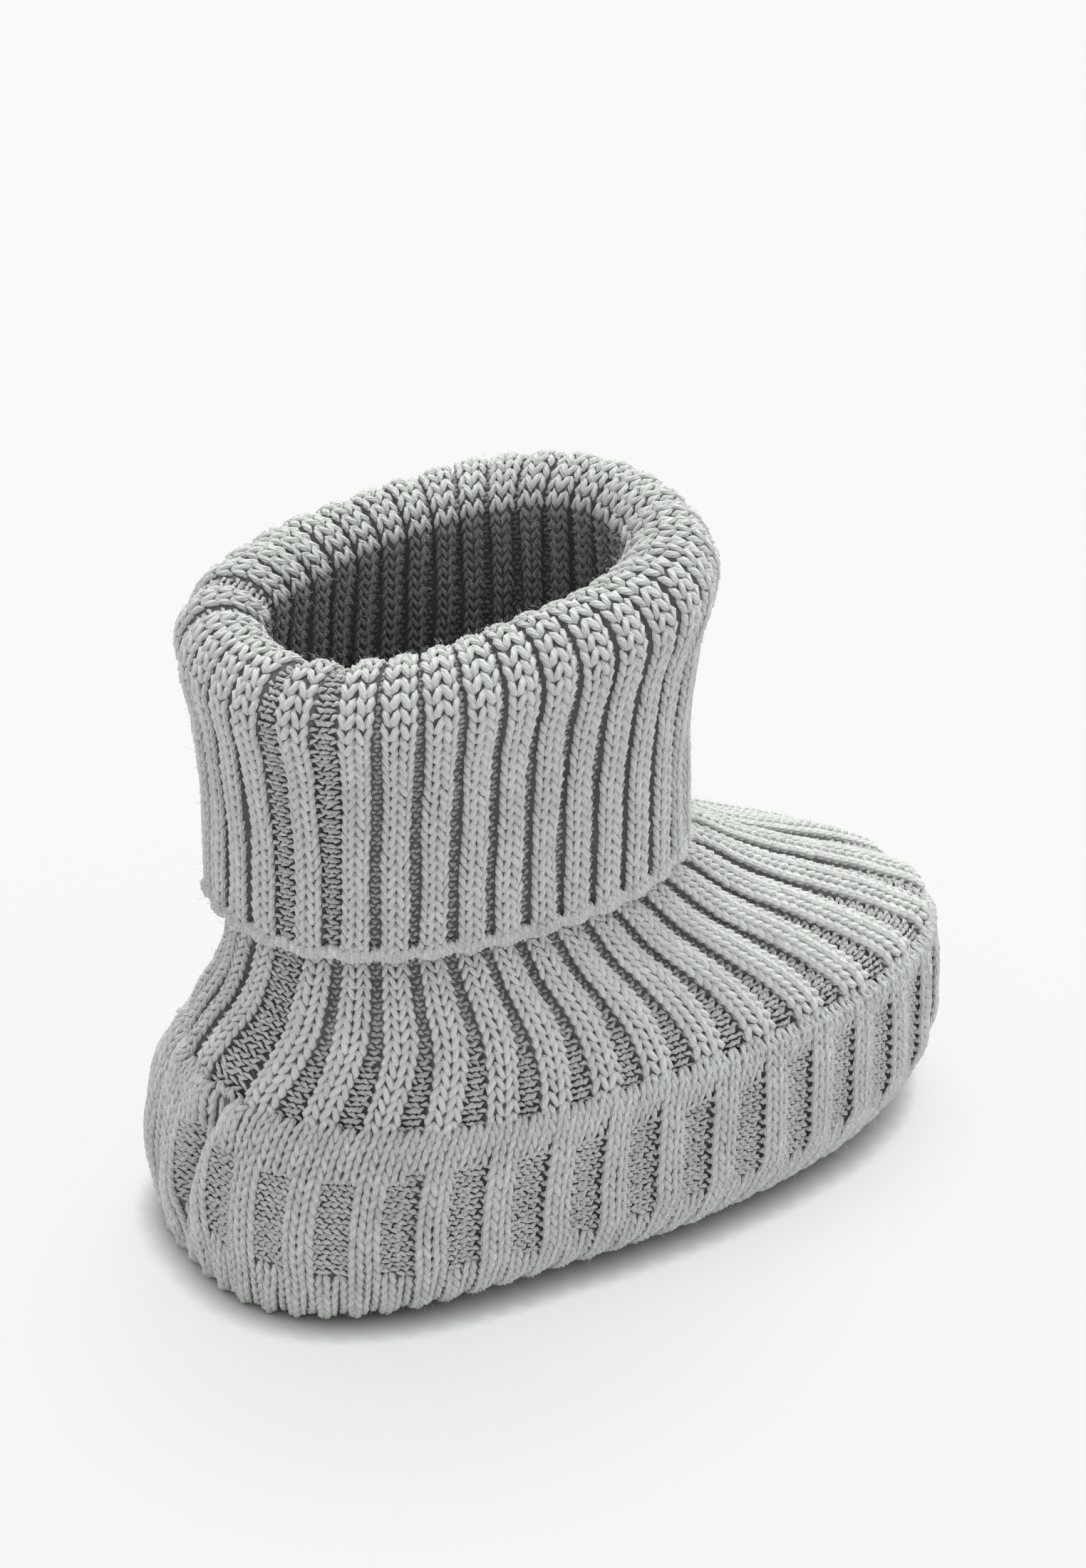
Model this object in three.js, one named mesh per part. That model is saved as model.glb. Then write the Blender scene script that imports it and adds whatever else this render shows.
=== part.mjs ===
// Knitted bootie slipper for a small child, in millimetres.
// +X points to the toe, +Z is up, and the origin is the middle of the outline on the floor.
import * as THREE from 'three';

// Outline of the side band at its widest, seen from above
const LENGTH = 109.6; // heel to toe
const WIDTH = 62.0; // across the foot
const WIDEST_BEHIND_MIDDLE = 12.5; // how far the widest place lies towards the heel
const HEEL_SQUARENESS = 2.55; // exponent of the heel's curve, 2 is an ellipse
const TOE_SQUARENESS = 2.28;

// Side band and bottom, knitted as one tray
const BAND_HEIGHT = 26.4; // floor to the band's top edge, at the middle of the foot
const RIM_FALL = 1.8; // the top edge is this much lower at the toe than at the heel
const RIM_IN_HEEL = 5.4; // the top edge lies this far inside the widest outline
const RIM_IN_SIDES = 1.9;
const RIM_OUT_TOE = 0.4; // the top edge overhangs the widest outline at the toe
const RIM_HEEL_SQUARENESS = 2.1;
const BOTTOM_HEEL_SQUARENESS = 3.0;
const TURN_HEEL = 2.0; // how far the round of the bottom edge reaches under the heel
const TURN_SIDES = 10.0;
const TURN_TOE = 8.5;
const TOE_SPRING = 3.4; // lift of the bottom under the tip of the toe
const TOE_SPRING_LENGTH = 33; // length over which the bottom lifts
const SOLE_WALL = 3.0; // thickness of the side band and the bottom
const LIP = 1.6; // thickness of the band's turned top edge
const WINDOW_DEPTH = 0.9; // recess of the purl windows in the band
const WINDOW_BOTTOM = 8.6; // height of the windows' lower edge
const WINDOW_TOP = 21.8; // height of the windows' upper edge

// Upper: foot, shaft, roll and folded cuff, knitted as one tube
const KNIT = 1.6; // thickness of the fabric between the ribs
const RIB_RAISE = 1.0; // height of the ribs on the face that shows
const HEM_DEPTH = 6.2; // how far the upper reaches down inside the band
const SHAFT_BEHIND_MIDDLE = 15.75; // how far the shaft's centre lies towards the heel
const NECK_HEIGHT = 49.4; // floor to the narrowest place, under the cuff's edge
const NECK_LENGTH = 55.4; // heel side to toe side, mid fabric
const NECK_WIDTH = 37.6;
const MOUTH_LENGTH = 48.4; // the shaft's mid fabric at the mouth
const MOUTH_WIDTH = 31.4;
const MOUTH_HEIGHT = 85.0; // floor to the middle of the roll
const NECK_SQUARENESS = 2.2; // exponent of the plan curve under the cuff
const MOUTH_SQUARENESS = 2.5;
const MOUTH_TILT = 6.6; // the roll is this much higher at the toe side than at the heel side
const ROLL_WIDTH_ENDS = 7.2; // mid fabric of the shaft to mid fabric of the cuff, heel and toe side
const ROLL_WIDTH_SIDES = 8.0;
const ROLL_RISE = 3.5; // height of the roll's mid fabric above its middle
const CUFF_EDGE_HEIGHT = 48.9; // floor to the cuff's edge
const CUFF_EDGE_LENGTH = 59.5; // mid fabric of the cuff at its edge
const CUFF_EDGE_WIDTH = 42.4;

// Ribs, the same count on the upper and on the side band
const RIBS = 34; // even, so that toe and heel both lie on a groove
const GROOVE = 0.42; // width of a groove as a share of a rib's pitch
const WIDE_GROOVES = { 14: 0.5, 15: 0.4 }; // slack grooves beside the heel, extra pitches
const CROWDING_BAND = 0.27; // how much denser the ribs stand at the heel than at the toe
const CROWDING_SHAFT = 0.05;
const WINDOW = 0.46; // width of a window as a share of a pitch

// Insole
const INSOLE_THICKNESS = 2.4;
const INSOLE_MARGIN = 0.8; // between the insole's edge and the band's inner face
const INSOLE_STEPS = 48; // points round its outline
const INSOLE_SEAT = 0.45; // between the insole and the tray's floor

const CLEARANCE = 0.4; // between neighbouring pieces

// A closed plan curve: a rounded egg from heel to toe with its widest place at x = mid.
// Its height is z at the middle, and it rises by tilt from the heel end to the toe end.
function loop(mid, heel, toe, side, squareHeel, squareToe, z, tilt = 0) {
  return { mid, heel, toe, side, squareHeel, squareToe, z, tilt };
}

function inset(base, heel, side, toe, z, tilt = base.tilt) {
  return { ...base, heel: base.heel - heel, side: base.side - side, toe: base.toe - toe, z, tilt };
}

function mix(a, b, t) {
  return a + (b - a) * t;
}

// Blends two curves, with a share of its own for the heel, the sides and the toe.
function blend(a, b, rise, heel, side, toe) {
  const heelEnd = mix(a.mid - a.heel, b.mid - b.heel, heel);
  const toeEnd = mix(a.mid + a.toe, b.mid + b.toe, toe);
  const mid = mix(a.mid, b.mid, side);
  return {
    mid,
    heel: mid - heelEnd,
    toe: toeEnd - mid,
    side: mix(a.side, b.side, side),
    squareHeel: mix(a.squareHeel, b.squareHeel, side),
    squareToe: mix(a.squareToe, b.squareToe, side),
    z: mix(a.z, b.z, rise),
    tilt: mix(a.tilt, b.tilt, rise),
  };
}

// Points of a curve at given shares of its length, counted from the toe round the right side.
const HALF_STEPS = 360;
function pointsOn(curve, shares) {
  const half = [];
  let length = 0;
  for (let i = 0; i <= HALF_STEPS; i++) {
    const angle = (Math.PI * i) / HALF_STEPS;
    const c = Math.cos(angle);
    const s = Math.sin(angle);
    const power = 2 / (c < 0 ? curve.squareHeel : curve.squareToe);
    const reach = c < 0 ? curve.heel : curve.toe;
    const x = curve.mid + reach * Math.sign(c) * Math.abs(c) ** power;
    const y = curve.side * Math.abs(s) ** power;
    if (i > 0) {
      length += Math.hypot(x - half[i - 1].x, y - half[i - 1].y);
    }
    half.push({ x, y, length });
  }
  const middle = curve.mid + (curve.toe - curve.heel) / 2;
  const points = [];
  for (const share of shares) {
    const wanted = (share <= 0.5 ? share : 1 - share) * 2 * length;
    let i = 1;
    while (i < HALF_STEPS && half[i].length < wanted) {
      i++;
    }
    const span = half[i].length - half[i - 1].length;
    const t = (wanted - half[i - 1].length) / span;
    const x = mix(half[i - 1].x, half[i].x, t);
    const y = mix(half[i - 1].y, half[i].y, t);
    const z = curve.z + (curve.tilt * (x - middle)) / (curve.heel + curve.toe);
    points.push(new THREE.Vector3(x, share <= 0.5 ? -y : y, z));
  }
  return points;
}

// Joins rows of points with equal counts into a surface that closes round each row.
function shell(name, rows, closed, color) {
  const positions = [];
  const index = [];
  const columns = rows[0].length;
  for (const row of rows) {
    for (const point of row) {
      positions.push(point.x, point.y, point.z);
    }
  }
  const bands = closed ? rows.length : rows.length - 1;
  for (let i = 0; i < bands; i++) {
    const here = i * columns;
    const next = ((i + 1) % rows.length) * columns;
    for (let j = 0; j < columns; j++) {
      const k = (j + 1) % columns;
      index.push(here + j, next + j, here + k);
      index.push(here + k, next + j, next + k);
    }
  }
  if (!closed) {
    for (const [start, flip] of [[0, false], [(rows.length - 1) * columns, true]]) {
      const row = rows[start / columns];
      const centre = row.reduce((sum, point) => sum.add(point), new THREE.Vector3());
      centre.divideScalar(columns);
      centre.z = row[0].z < row[columns / 2].z ? row[0].z : row[columns / 2].z;
      positions.push(centre.x, centre.y, centre.z);
      const hub = positions.length / 3 - 1;
      for (let j = 0; j < columns; j++) {
        const k = (j + 1) % columns;
        index.push(hub, start + (flip ? k : j), start + (flip ? j : k));
      }
    }
  }
  const geometry = new THREE.BufferGeometry();
  geometry.setAttribute('position', new THREE.Float32BufferAttribute(positions, 3));
  geometry.setIndex(index);
  geometry.computeVertexNormals();
  const material = new THREE.MeshStandardMaterial({ color, roughness: 0.95, metalness: 0 });
  const mesh = new THREE.Mesh(geometry, material);
  mesh.name = name;
  return mesh;
}

// Moves even shares towards the heel, on both sides of the foot alike.
function crowd(share, amount) {
  const q = (share <= 0.5 ? share : 1 - share) * 2;
  const moved = (q + amount * q * (1 - q)) / 2;
  return share <= 0.5 ? moved : 1 - moved;
}

// Shares of the grooves' middles round the foot, with the slack grooves beside the heel.
function grooveShares() {
  const half = RIBS / 2;
  const slack = (k) => WIDE_GROOVES[k] ?? 0;
  const middles = [0];
  for (let k = 1; k <= half; k++) {
    middles.push(middles[k - 1] + 1 + (slack(k - 1) + slack(k)) / 2);
  }
  const total = middles[half] * 2;
  const grooves = middles.map((middle, k) => ({
    at: middle / total,
    half: (GROOVE + slack(k)) / 2 / total,
  }));
  for (let k = half - 1; k > 0; k--) {
    grooves.push({ at: 1 - grooves[k].at, half: grooves[k].half });
  }
  return grooves;
}

// Three columns for each rib: the groove's middle and the rib's two shoulders.
const grooves = grooveShares();
const ribColumns = [];
for (let k = 0; k < RIBS; k++) {
  const nextAt = k + 1 < RIBS ? grooves[k + 1].at : 1;
  const nextHalf = grooves[(k + 1) % RIBS].half;
  ribColumns.push({ share: grooves[k].at, raise: 0 });
  ribColumns.push({ share: grooves[k].at + grooves[k].half, raise: 1 });
  ribColumns.push({ share: nextAt - nextHalf, raise: 1 });
}

// Four columns for each repeat of the band: the window's two edges and the rib's two edges.
const bandColumns = [];
for (let k = 0; k < RIBS; k++) {
  const wall = 0.06;
  for (const [place, recess] of [[WINDOW / 2, 1], [WINDOW / 2 + wall, 0],
    [1 - WINDOW / 2 - wall, 0], [1 - WINDOW / 2, 1]]) {
    bandColumns.push({ share: (k + place) / RIBS, recess });
  }
}

// Plan curves that the pieces share
const widest = loop(
  -WIDEST_BEHIND_MIDDLE,
  LENGTH / 2 - WIDEST_BEHIND_MIDDLE,
  LENGTH / 2 + WIDEST_BEHIND_MIDDLE,
  WIDTH / 2,
  HEEL_SQUARENESS,
  TOE_SQUARENESS,
  0,
);
const rim = {
  ...inset(widest, RIM_IN_HEEL, RIM_IN_SIDES, -RIM_OUT_TOE, BAND_HEIGHT, -RIM_FALL),
  squareHeel: RIM_HEEL_SQUARENESS,
};

function shaftLoop(length, width, squareness, z, tilt) {
  return loop(-SHAFT_BEHIND_MIDDLE, length / 2, length / 2, width / 2,
    squareness, squareness, z, tilt);
}

// Lift of the bottom towards the tip of the toe
function spring(x) {
  const t = (x - (LENGTH / 2 - TOE_SPRING_LENGTH)) / TOE_SPRING_LENGTH;
  return t > 0 ? TOE_SPRING * t * t : 0;
}

// Sole. Outer sections of the tray from the bottom's edge to the rim.
// z above the floor, share of the bottom's turn, share of the rim's inset, share of the recess
const OUTER_SECTIONS = [
  { z: 0, turn: 1, rim: 0, recess: 0 },
  { z: 0.07 * TURN_SIDES, turn: 0.64, rim: 0, recess: 0 },
  { z: 0.3 * TURN_SIDES, turn: 0.29, rim: 0, recess: 0 },
  { z: WINDOW_BOTTOM - WINDOW_DEPTH / 2, turn: 0.04, rim: 0, recess: 0 },
  { z: WINDOW_BOTTOM + WINDOW_DEPTH / 2, turn: 0.02, rim: 0, recess: 1 },
  { z: mix(WINDOW_BOTTOM, WINDOW_TOP, 0.45), turn: 0, rim: 0, recess: 1 },
  { z: WINDOW_TOP - WINDOW_DEPTH / 2, turn: 0, rim: 0.4, recess: 1 },
  { z: WINDOW_TOP + WINDOW_DEPTH / 2, turn: 0, rim: 0.5, recess: 0 },
  { z: BAND_HEIGHT - 0.5 * LIP, turn: 0, rim: 0.9, recess: 0 },
];
// Inner sections from the rim to the floor: z, inset from the outer outline, rim share, turn share
const INNER_SECTIONS = [
  { z: BAND_HEIGHT, inset: LIP, rim: 1, turn: 0 },
  { z: BAND_HEIGHT - HEM_DEPTH, inset: SOLE_WALL, rim: 0.4, turn: 0 },
  { z: SOLE_WALL + 0.35 * TURN_SIDES, inset: SOLE_WALL, rim: 0, turn: 0.08 },
  { z: SOLE_WALL, inset: SOLE_WALL, rim: 0, turn: 0.5 },
];
const FLOOR_RING = 0.62; // size of the flat middle of the bottom, as a share of its edge

function trayCurve(section, insetAll) {
  const high = section.z / BAND_HEIGHT;
  const curve = inset(
    widest,
    TURN_HEEL * section.turn + RIM_IN_HEEL * section.rim + insetAll,
    TURN_SIDES * section.turn + RIM_IN_SIDES * section.rim + insetAll,
    TURN_TOE * section.turn - RIM_OUT_TOE * section.rim + insetAll,
    section.z,
    -RIM_FALL * high ** 2,
  );
  curve.squareHeel += (RIM_HEEL_SQUARENESS - HEEL_SQUARENESS) * section.rim;
  curve.squareHeel += (BOTTOM_HEEL_SQUARENESS - HEEL_SQUARENESS) * section.turn;
  return curve;
}

function trayRow(section, insetAll) {
  const high = section.z / BAND_HEIGHT;
  const curve = trayCurve(section, insetAll);
  const shares = bandColumns.map((column) => column.share);
  const points = pointsOn(curve, shares);
  const recessed = inset(curve, WINDOW_DEPTH, WINDOW_DEPTH, WINDOW_DEPTH, curve.z, curve.tilt);
  const sunk = section.recess ? pointsOn(recessed, shares) : points;
  return points.map((point, j) => {
    const chosen = (bandColumns[j].recess ? sunk[j] : point).clone();
    chosen.z += spring(chosen.x) * (1 - high);
    return chosen;
  });
}

function floorRing(edge) {
  return edge.map((point) => {
    const ring = new THREE.Vector3(point.x * FLOOR_RING, point.y * FLOOR_RING, 0);
    ring.z = point.z - spring(point.x) * (1 - point.z / BAND_HEIGHT) + spring(ring.x);
    return ring;
  });
}

function makeSole() {
  const outer = OUTER_SECTIONS.map((section) => trayRow(section, 0));
  const top = trayRow({ z: BAND_HEIGHT, turn: 0, rim: 1, recess: 0 }, LIP * 0.35);
  const inner = INNER_SECTIONS.map((section) => trayRow(section, section.inset));
  const rows = [floorRing(outer[0]), ...outer, top, ...inner];
  rows.push(floorRing(inner[inner.length - 1]));
  return shell('sole', rows, false, 0xb9bdb8);
}

// Upper. Its path runs up the foot and the shaft, over the roll and down the cuff.
const seat = LIP + CLEARANCE + RIB_RAISE + KNIT / 2;
const rimLine = inset(rim, seat, seat, seat, rim.z);
const HEM_RAISE = 0.4; // height of the ribs at the hem, as a share of RIB_RAISE
const HEM_SLACK = 0.2; // the hem lies this much further from the band than the clearance
const hemSeat = CLEARANCE + HEM_SLACK + HEM_RAISE * RIB_RAISE + KNIT / 2;
const hemLine = inset(trayCurve(INNER_SECTIONS[1], SOLE_WALL), hemSeat, hemSeat, hemSeat,
  rim.z - HEM_DEPTH, rim.tilt);
const neckLine = shaftLoop(NECK_LENGTH, NECK_WIDTH, NECK_SQUARENESS, NECK_HEIGHT, 0);
const mouthLine = shaftLoop(MOUTH_LENGTH, MOUTH_WIDTH, MOUTH_SQUARENESS, MOUTH_HEIGHT,
  MOUTH_TILT);
const cuffTop = inset(mouthLine, -ROLL_WIDTH_ENDS, -ROLL_WIDTH_SIDES, -ROLL_WIDTH_ENDS,
  MOUTH_HEIGHT);
const cuffEdge = shaftLoop(CUFF_EDGE_LENGTH, CUFF_EDGE_WIDTH, NECK_SQUARENESS,
  CUFF_EDGE_HEIGHT, 0);

// The foot between the rim and the neck: shares of the rise and of the way in to the neck
const FOOT_SECTIONS = [
  { rise: 0.0, heel: 0.0, side: 0.0, toe: 0.0 },
  { rise: 0.17, heel: -0.02, side: 0.16, toe: 0.15 },
  { rise: 0.38, heel: 0.2, side: 0.46, toe: 0.4 },
  { rise: 0.6, heel: 0.55, side: 0.76, toe: 0.66 },
  { rise: 0.8, heel: 0.86, side: 0.94, toe: 0.84 },
  { rise: 1.0, heel: 1.0, side: 1.0, toe: 1.0 },
];
// The cuff between its edge and the roll: shares of the rise and of the way out to the roll
const CUFF_SECTIONS = [
  { rise: 0.75, heel: 0.5, side: 0.5, toe: 0.2 },
  { rise: 0.45, heel: -0.15, side: 0.17, toe: -0.65 },
  { rise: 0.2, heel: -0.1, side: 0.03, toe: -0.3 },
  { rise: 0.0, heel: 0.0, side: 0.0, toe: 0.0 },
];
const ROLL_ANGLES = [32, 77, 122, 167];

// Stations of the path: a curve, the crowding, and the ribs' height on the two faces
const stations = [];
stations.push({ curve: hemLine, crowding: CROWDING_BAND, out: HEM_RAISE, in: 0 });
for (const row of FOOT_SECTIONS) {
  stations.push({
    curve: blend(rimLine, neckLine, row.rise, row.heel, row.side, row.toe),
    crowding: mix(CROWDING_BAND, CROWDING_SHAFT, row.rise),
    out: row.rise < 1 ? 1 : 0.1,
    in: row.rise < 0.7 ? 0 : row.rise,
  });
}
for (const rise of [0.45, 0.85]) {
  stations.push({
    curve: blend(neckLine, mouthLine, rise, rise, rise, rise),
    crowding: CROWDING_SHAFT,
    out: 0,
    in: 1,
  });
}
for (const degrees of ROLL_ANGLES) {
  const angle = THREE.MathUtils.degToRad(degrees);
  const way = (1 - Math.cos(angle)) / 2;
  const curve = blend(mouthLine, cuffTop, way, way, way, way);
  curve.z += ROLL_RISE * Math.sin(angle);
  stations.push({ curve, crowding: CROWDING_SHAFT, out: 0, in: 1 });
}
for (const row of CUFF_SECTIONS) {
  stations.push({
    curve: blend(cuffEdge, cuffTop, row.rise, row.heel, row.side, row.toe),
    crowding: CROWDING_SHAFT,
    out: 0,
    in: 1,
  });
}

function makeUpper() {
  const middle = stations.map((station) => {
    const shares = ribColumns.map((column) => crowd(column.share, station.crowding));
    return pointsOn(station.curve, shares);
  });
  const columns = ribColumns.length;
  const outside = [];
  const inside = [];
  for (let i = 0; i < stations.length; i++) {
    const before = middle[Math.max(i - 1, 0)];
    const after = middle[Math.min(i + 1, stations.length - 1)];
    const outRow = [];
    const inRow = [];
    for (let j = 0; j < columns; j++) {
      const round = middle[i][(j + 1) % columns].clone();
      round.sub(middle[i][(j + columns - 1) % columns]);
      const along = after[j].clone().sub(before[j]);
      const normal = along.cross(round).normalize();
      const raise = RIB_RAISE * ribColumns[j].raise;
      outRow.push(middle[i][j].clone().addScaledVector(normal, KNIT / 2 + raise * stations[i].out));
      inRow.push(middle[i][j].clone().addScaledVector(normal, -KNIT / 2 - raise * stations[i].in));
    }
    outside.push(outRow);
    inside.push(inRow);
  }
  return shell('upper', [...outside, ...inside.reverse()], true, 0xbcc0bb);
}

// Insole: a thin sheet on the tray's floor, following its outline
function makeInsole() {
  const shares = [];
  for (let i = 0; i < INSOLE_STEPS; i++) {
    shares.push(i / INSOLE_STEPS);
  }
  const row = (extra, height) => {
    const clear = SOLE_WALL + INSOLE_MARGIN + extra;
    const curve = inset(widest, TURN_HEEL * 0.5 + clear, TURN_SIDES * 0.5 + clear,
      TURN_TOE * 0.5 + clear, 0, 0);
    return pointsOn(curve, shares).map((point) => {
      point.z = SOLE_WALL + INSOLE_SEAT + height + spring(point.x);
      return point;
    });
  };
  const ring = (edge, height) => edge.map((point) => {
    const inner = new THREE.Vector3(point.x * FLOOR_RING, point.y * FLOOR_RING, 0);
    inner.z = SOLE_WALL + INSOLE_SEAT + height + spring(inner.x);
    return inner;
  });
  const low = row(0.5, 0);
  const high = row(0.5, INSOLE_THICKNESS);
  const rows = [ring(low, 0), low, row(0, 0.3 * INSOLE_THICKNESS),
    row(0, 0.7 * INSOLE_THICKNESS), high, ring(high, INSOLE_THICKNESS)];
  return shell('insole', rows, false, 0xc4c7c2);
}

const bootie = new THREE.Group();
bootie.name = 'knitted_bootie';
bootie.add(makeSole(), makeInsole(), makeUpper());
const outline = new THREE.Box3().setFromObject(bootie);
bootie.position.x = -(outline.min.x + outline.max.x) / 2;

export default bootie;
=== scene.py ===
"""Knitted baby bootie slipper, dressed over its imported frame.

The cloth follows plan curves like the frame's, except at the heel, where it keeps closer to
the photo. Yarn stitches are laid over it row by row. Sizes in the tables and functions below
are in millimetres.
"""
import math

import bpy
import numpy as np
from mathutils import Matrix, Vector


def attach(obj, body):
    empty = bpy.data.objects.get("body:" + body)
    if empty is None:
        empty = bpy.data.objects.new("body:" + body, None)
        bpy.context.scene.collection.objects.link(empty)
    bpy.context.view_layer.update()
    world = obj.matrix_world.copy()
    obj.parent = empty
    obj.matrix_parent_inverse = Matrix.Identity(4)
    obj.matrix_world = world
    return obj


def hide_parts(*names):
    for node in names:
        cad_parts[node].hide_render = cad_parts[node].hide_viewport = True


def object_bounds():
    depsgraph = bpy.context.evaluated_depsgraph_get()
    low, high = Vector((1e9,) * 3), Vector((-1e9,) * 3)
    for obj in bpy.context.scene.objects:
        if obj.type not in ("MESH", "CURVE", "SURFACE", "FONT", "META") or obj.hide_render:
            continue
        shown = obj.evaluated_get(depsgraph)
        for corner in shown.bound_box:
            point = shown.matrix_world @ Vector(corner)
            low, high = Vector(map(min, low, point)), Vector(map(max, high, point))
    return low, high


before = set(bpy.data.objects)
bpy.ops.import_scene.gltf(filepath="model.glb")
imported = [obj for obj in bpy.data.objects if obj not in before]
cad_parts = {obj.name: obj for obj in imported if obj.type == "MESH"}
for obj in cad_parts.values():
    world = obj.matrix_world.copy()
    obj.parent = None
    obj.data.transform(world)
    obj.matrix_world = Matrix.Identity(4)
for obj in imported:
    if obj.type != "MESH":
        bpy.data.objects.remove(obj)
CAD_BOX = [list(corner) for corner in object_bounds()]

bl_info = {
    "name": "Knitted bootie slipper",
    "version": (1, 0, 0),
    "blender": (4, 5, 0),
    "location": "View3D > Sidebar > Bootie",
    "description": "Dresses the bootie slipper's frame with knitted cloth",
    "category": "Object",
}

MM = 0.001
# Half of the frame's length before it was centred on its outline, and the length round the band
FRAME_HALF_LENGTH = 54.8
BAND_GIRTH = 275.0
# Squareness of the plan curves: at the heel and the toe, at the heel's rim and its lower edge
SQUARE_HEEL, SQUARE_TOE, SQUARE_RIM, SQUARE_LOW = 2.55, 2.28, 2.1, 3.0
# Columns of a knitted surface, 32 to a rib
COLUMNS = 1088
# Places on the upper, in stations from its hem, and on the band, from the bottom's edge
RIM, LOW_FOOT, NECK, LIP, ROLL_TOP, ROLL, ROLL_END, EDGE = 1, 3.6, 6, 8.75, 10.4, 12, 12.4, 16
BAND_CREST, BAND_TOP = 7, 7.35

# Rise from rim to neck, and shares of the way in at the heel, the sides and the toe
FOOT_SECTIONS = [
    (0.0, 0.0, 0.0, 0.0),
    (0.17, 0.26, 0.2, 0.15),
    (0.38, 0.72, 0.5, 0.4),
    (0.6, 0.94, 0.8, 0.66),
    (0.8, 1.0, 0.95, 0.84),
    (1.0, 1.0, 1.0, 1.0),
]
# Shares of the rise from the neck to the mouth, and degrees round the roll
SHAFT_RISES = [0.45, 0.85]
ROLL_ANGLES = [32, 77, 122, 167]
# Rise from the cuff's edge to the roll, and shares of the way at the heel, the sides and the toe
CUFF_SECTIONS = [
    (0.75, 0.5, 0.5, 0.2),
    (0.45, -0.15, 0.17, -0.65),
    (0.2, -0.1, 0.03, -0.3),
    (0.0, 0.0, 0.0, 0.0),
]
# The band's rounded lower edge: height as a share of its reach, and how far it is turned in
BAND_TURN = [(0.0, 1.0), (0.07, 0.64), (0.3, 0.29)]
# Slack grooves, in pitches, on the foot, at the roll and at the cuff's edge
WIDE_ON_FOOT = {15: 0.55}
WIDE_ON_ROLL = {14: 0.5, 15: 0.4}
WIDE_ON_EDGE = {14: 0.15, 15: 0.3}
# Pull of the ribs towards the heel
CROWD_ON_FOOT, CROWD_ON_SHAFT = 0.27, 0.05
# Soft creases of the band at the heel: share at the rim, lean, depth, half width
HEEL_CREASES = [(0.485, -0.024, 1.7, 1.7), (0.545, 0.02, 1.0, 2.0)]
# How the ribs of the foot are carried round the heel where they meet the band: share, extra share
RIB_SWEEP = [
    (0.0, -0.007), (0.05, 0.0), (0.1, 0.009), (0.2, 0.014), (0.3, 0.014), (0.36, 0.02), (0.4, 0.027),
    (0.44, 0.039), (0.47, 0.04), (0.5, 0.034), (0.56, 0.026), (0.65, 0.012), (0.75, 0.0), (1.0, -0.007),
]
# Inner face of the tray: height, turn of the lower edge, share of the rim
TRAY_INSIDE = [(12.0, 0.02, 0.1), (6.5, 0.08, 0), (4.0, 0.25, 0), (3.0, 0.5, 0)]
# Insole from the middle of its underside to the middle of its top: inset, height as a share, size
INSOLE_PROFILE = [
    (0.5, 0.0, 0.04), (0.5, 0.0, 0.6), (0.5, 0.0, 1.0), (0.1, 0.2, 1.0), (0.0, 0.5, 1.0), (0.1, 0.8, 1.0),
    (0.6, 1.0, 1.0), (0.9, 1.0, 0.93), (0.9, 1.04, 0.8), (0.9, 1.06, 0.6), (0.9, 1.06, 0.35),
    (0.9, 1.06, 0.04),
]
# Depth of the gaps' floor, and of the cloth under the band's stitches, below the knitted face
GAP_SINK, BAND_SINK = 0.8, 0.62
# Forms of a length of yarn: the side of a stitch and a purl bump
LEG = {"Bulge": 0.12, "Dip": 0.42, "End": 0.28}
BUMP = {"Bulge": 0.5, "Dip": 0.25, "End": 0.45, "Sides": 4, "Segments": 2}
# Lines of the cuff's turned edge, in degrees round it
RIM_ANGLES = [-38, -4, 30, 64, 98, 132]
FIBRE_THICKNESS = 0.022

# The photo's camera: degrees round and up, focal length and photo height in pixels
CAMERA_TURN, CAMERA_RISE, CAMERA_FOCUS, PHOTO_HEIGHT = -31, 29, 6686, 2200
CAMERA_DISTANCE, CAMERA_TARGET = 600, (-2.33, 0, 54.9)
KEY_LIGHT_FROM, BRIGHT_WALL = (0.25, 0.32, 0.95), (0.62, 0.42, 0.66)
FLOOR_REACH, FLOOR_HEIGHT = 9000.0, -0.15


def length_value(text, value):
    """A size property, given in millimetres and kept in metres."""
    return bpy.props.FloatProperty(description=text, default=value * MM, unit="LENGTH", precision=5)


def number_value(text, value, **more):
    return bpy.props.FloatProperty(description=text, default=value, **more)


def colour_value(text, value):
    return bpy.props.FloatVectorProperty(description=text, subtype="COLOR", size=3, default=value)


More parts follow.
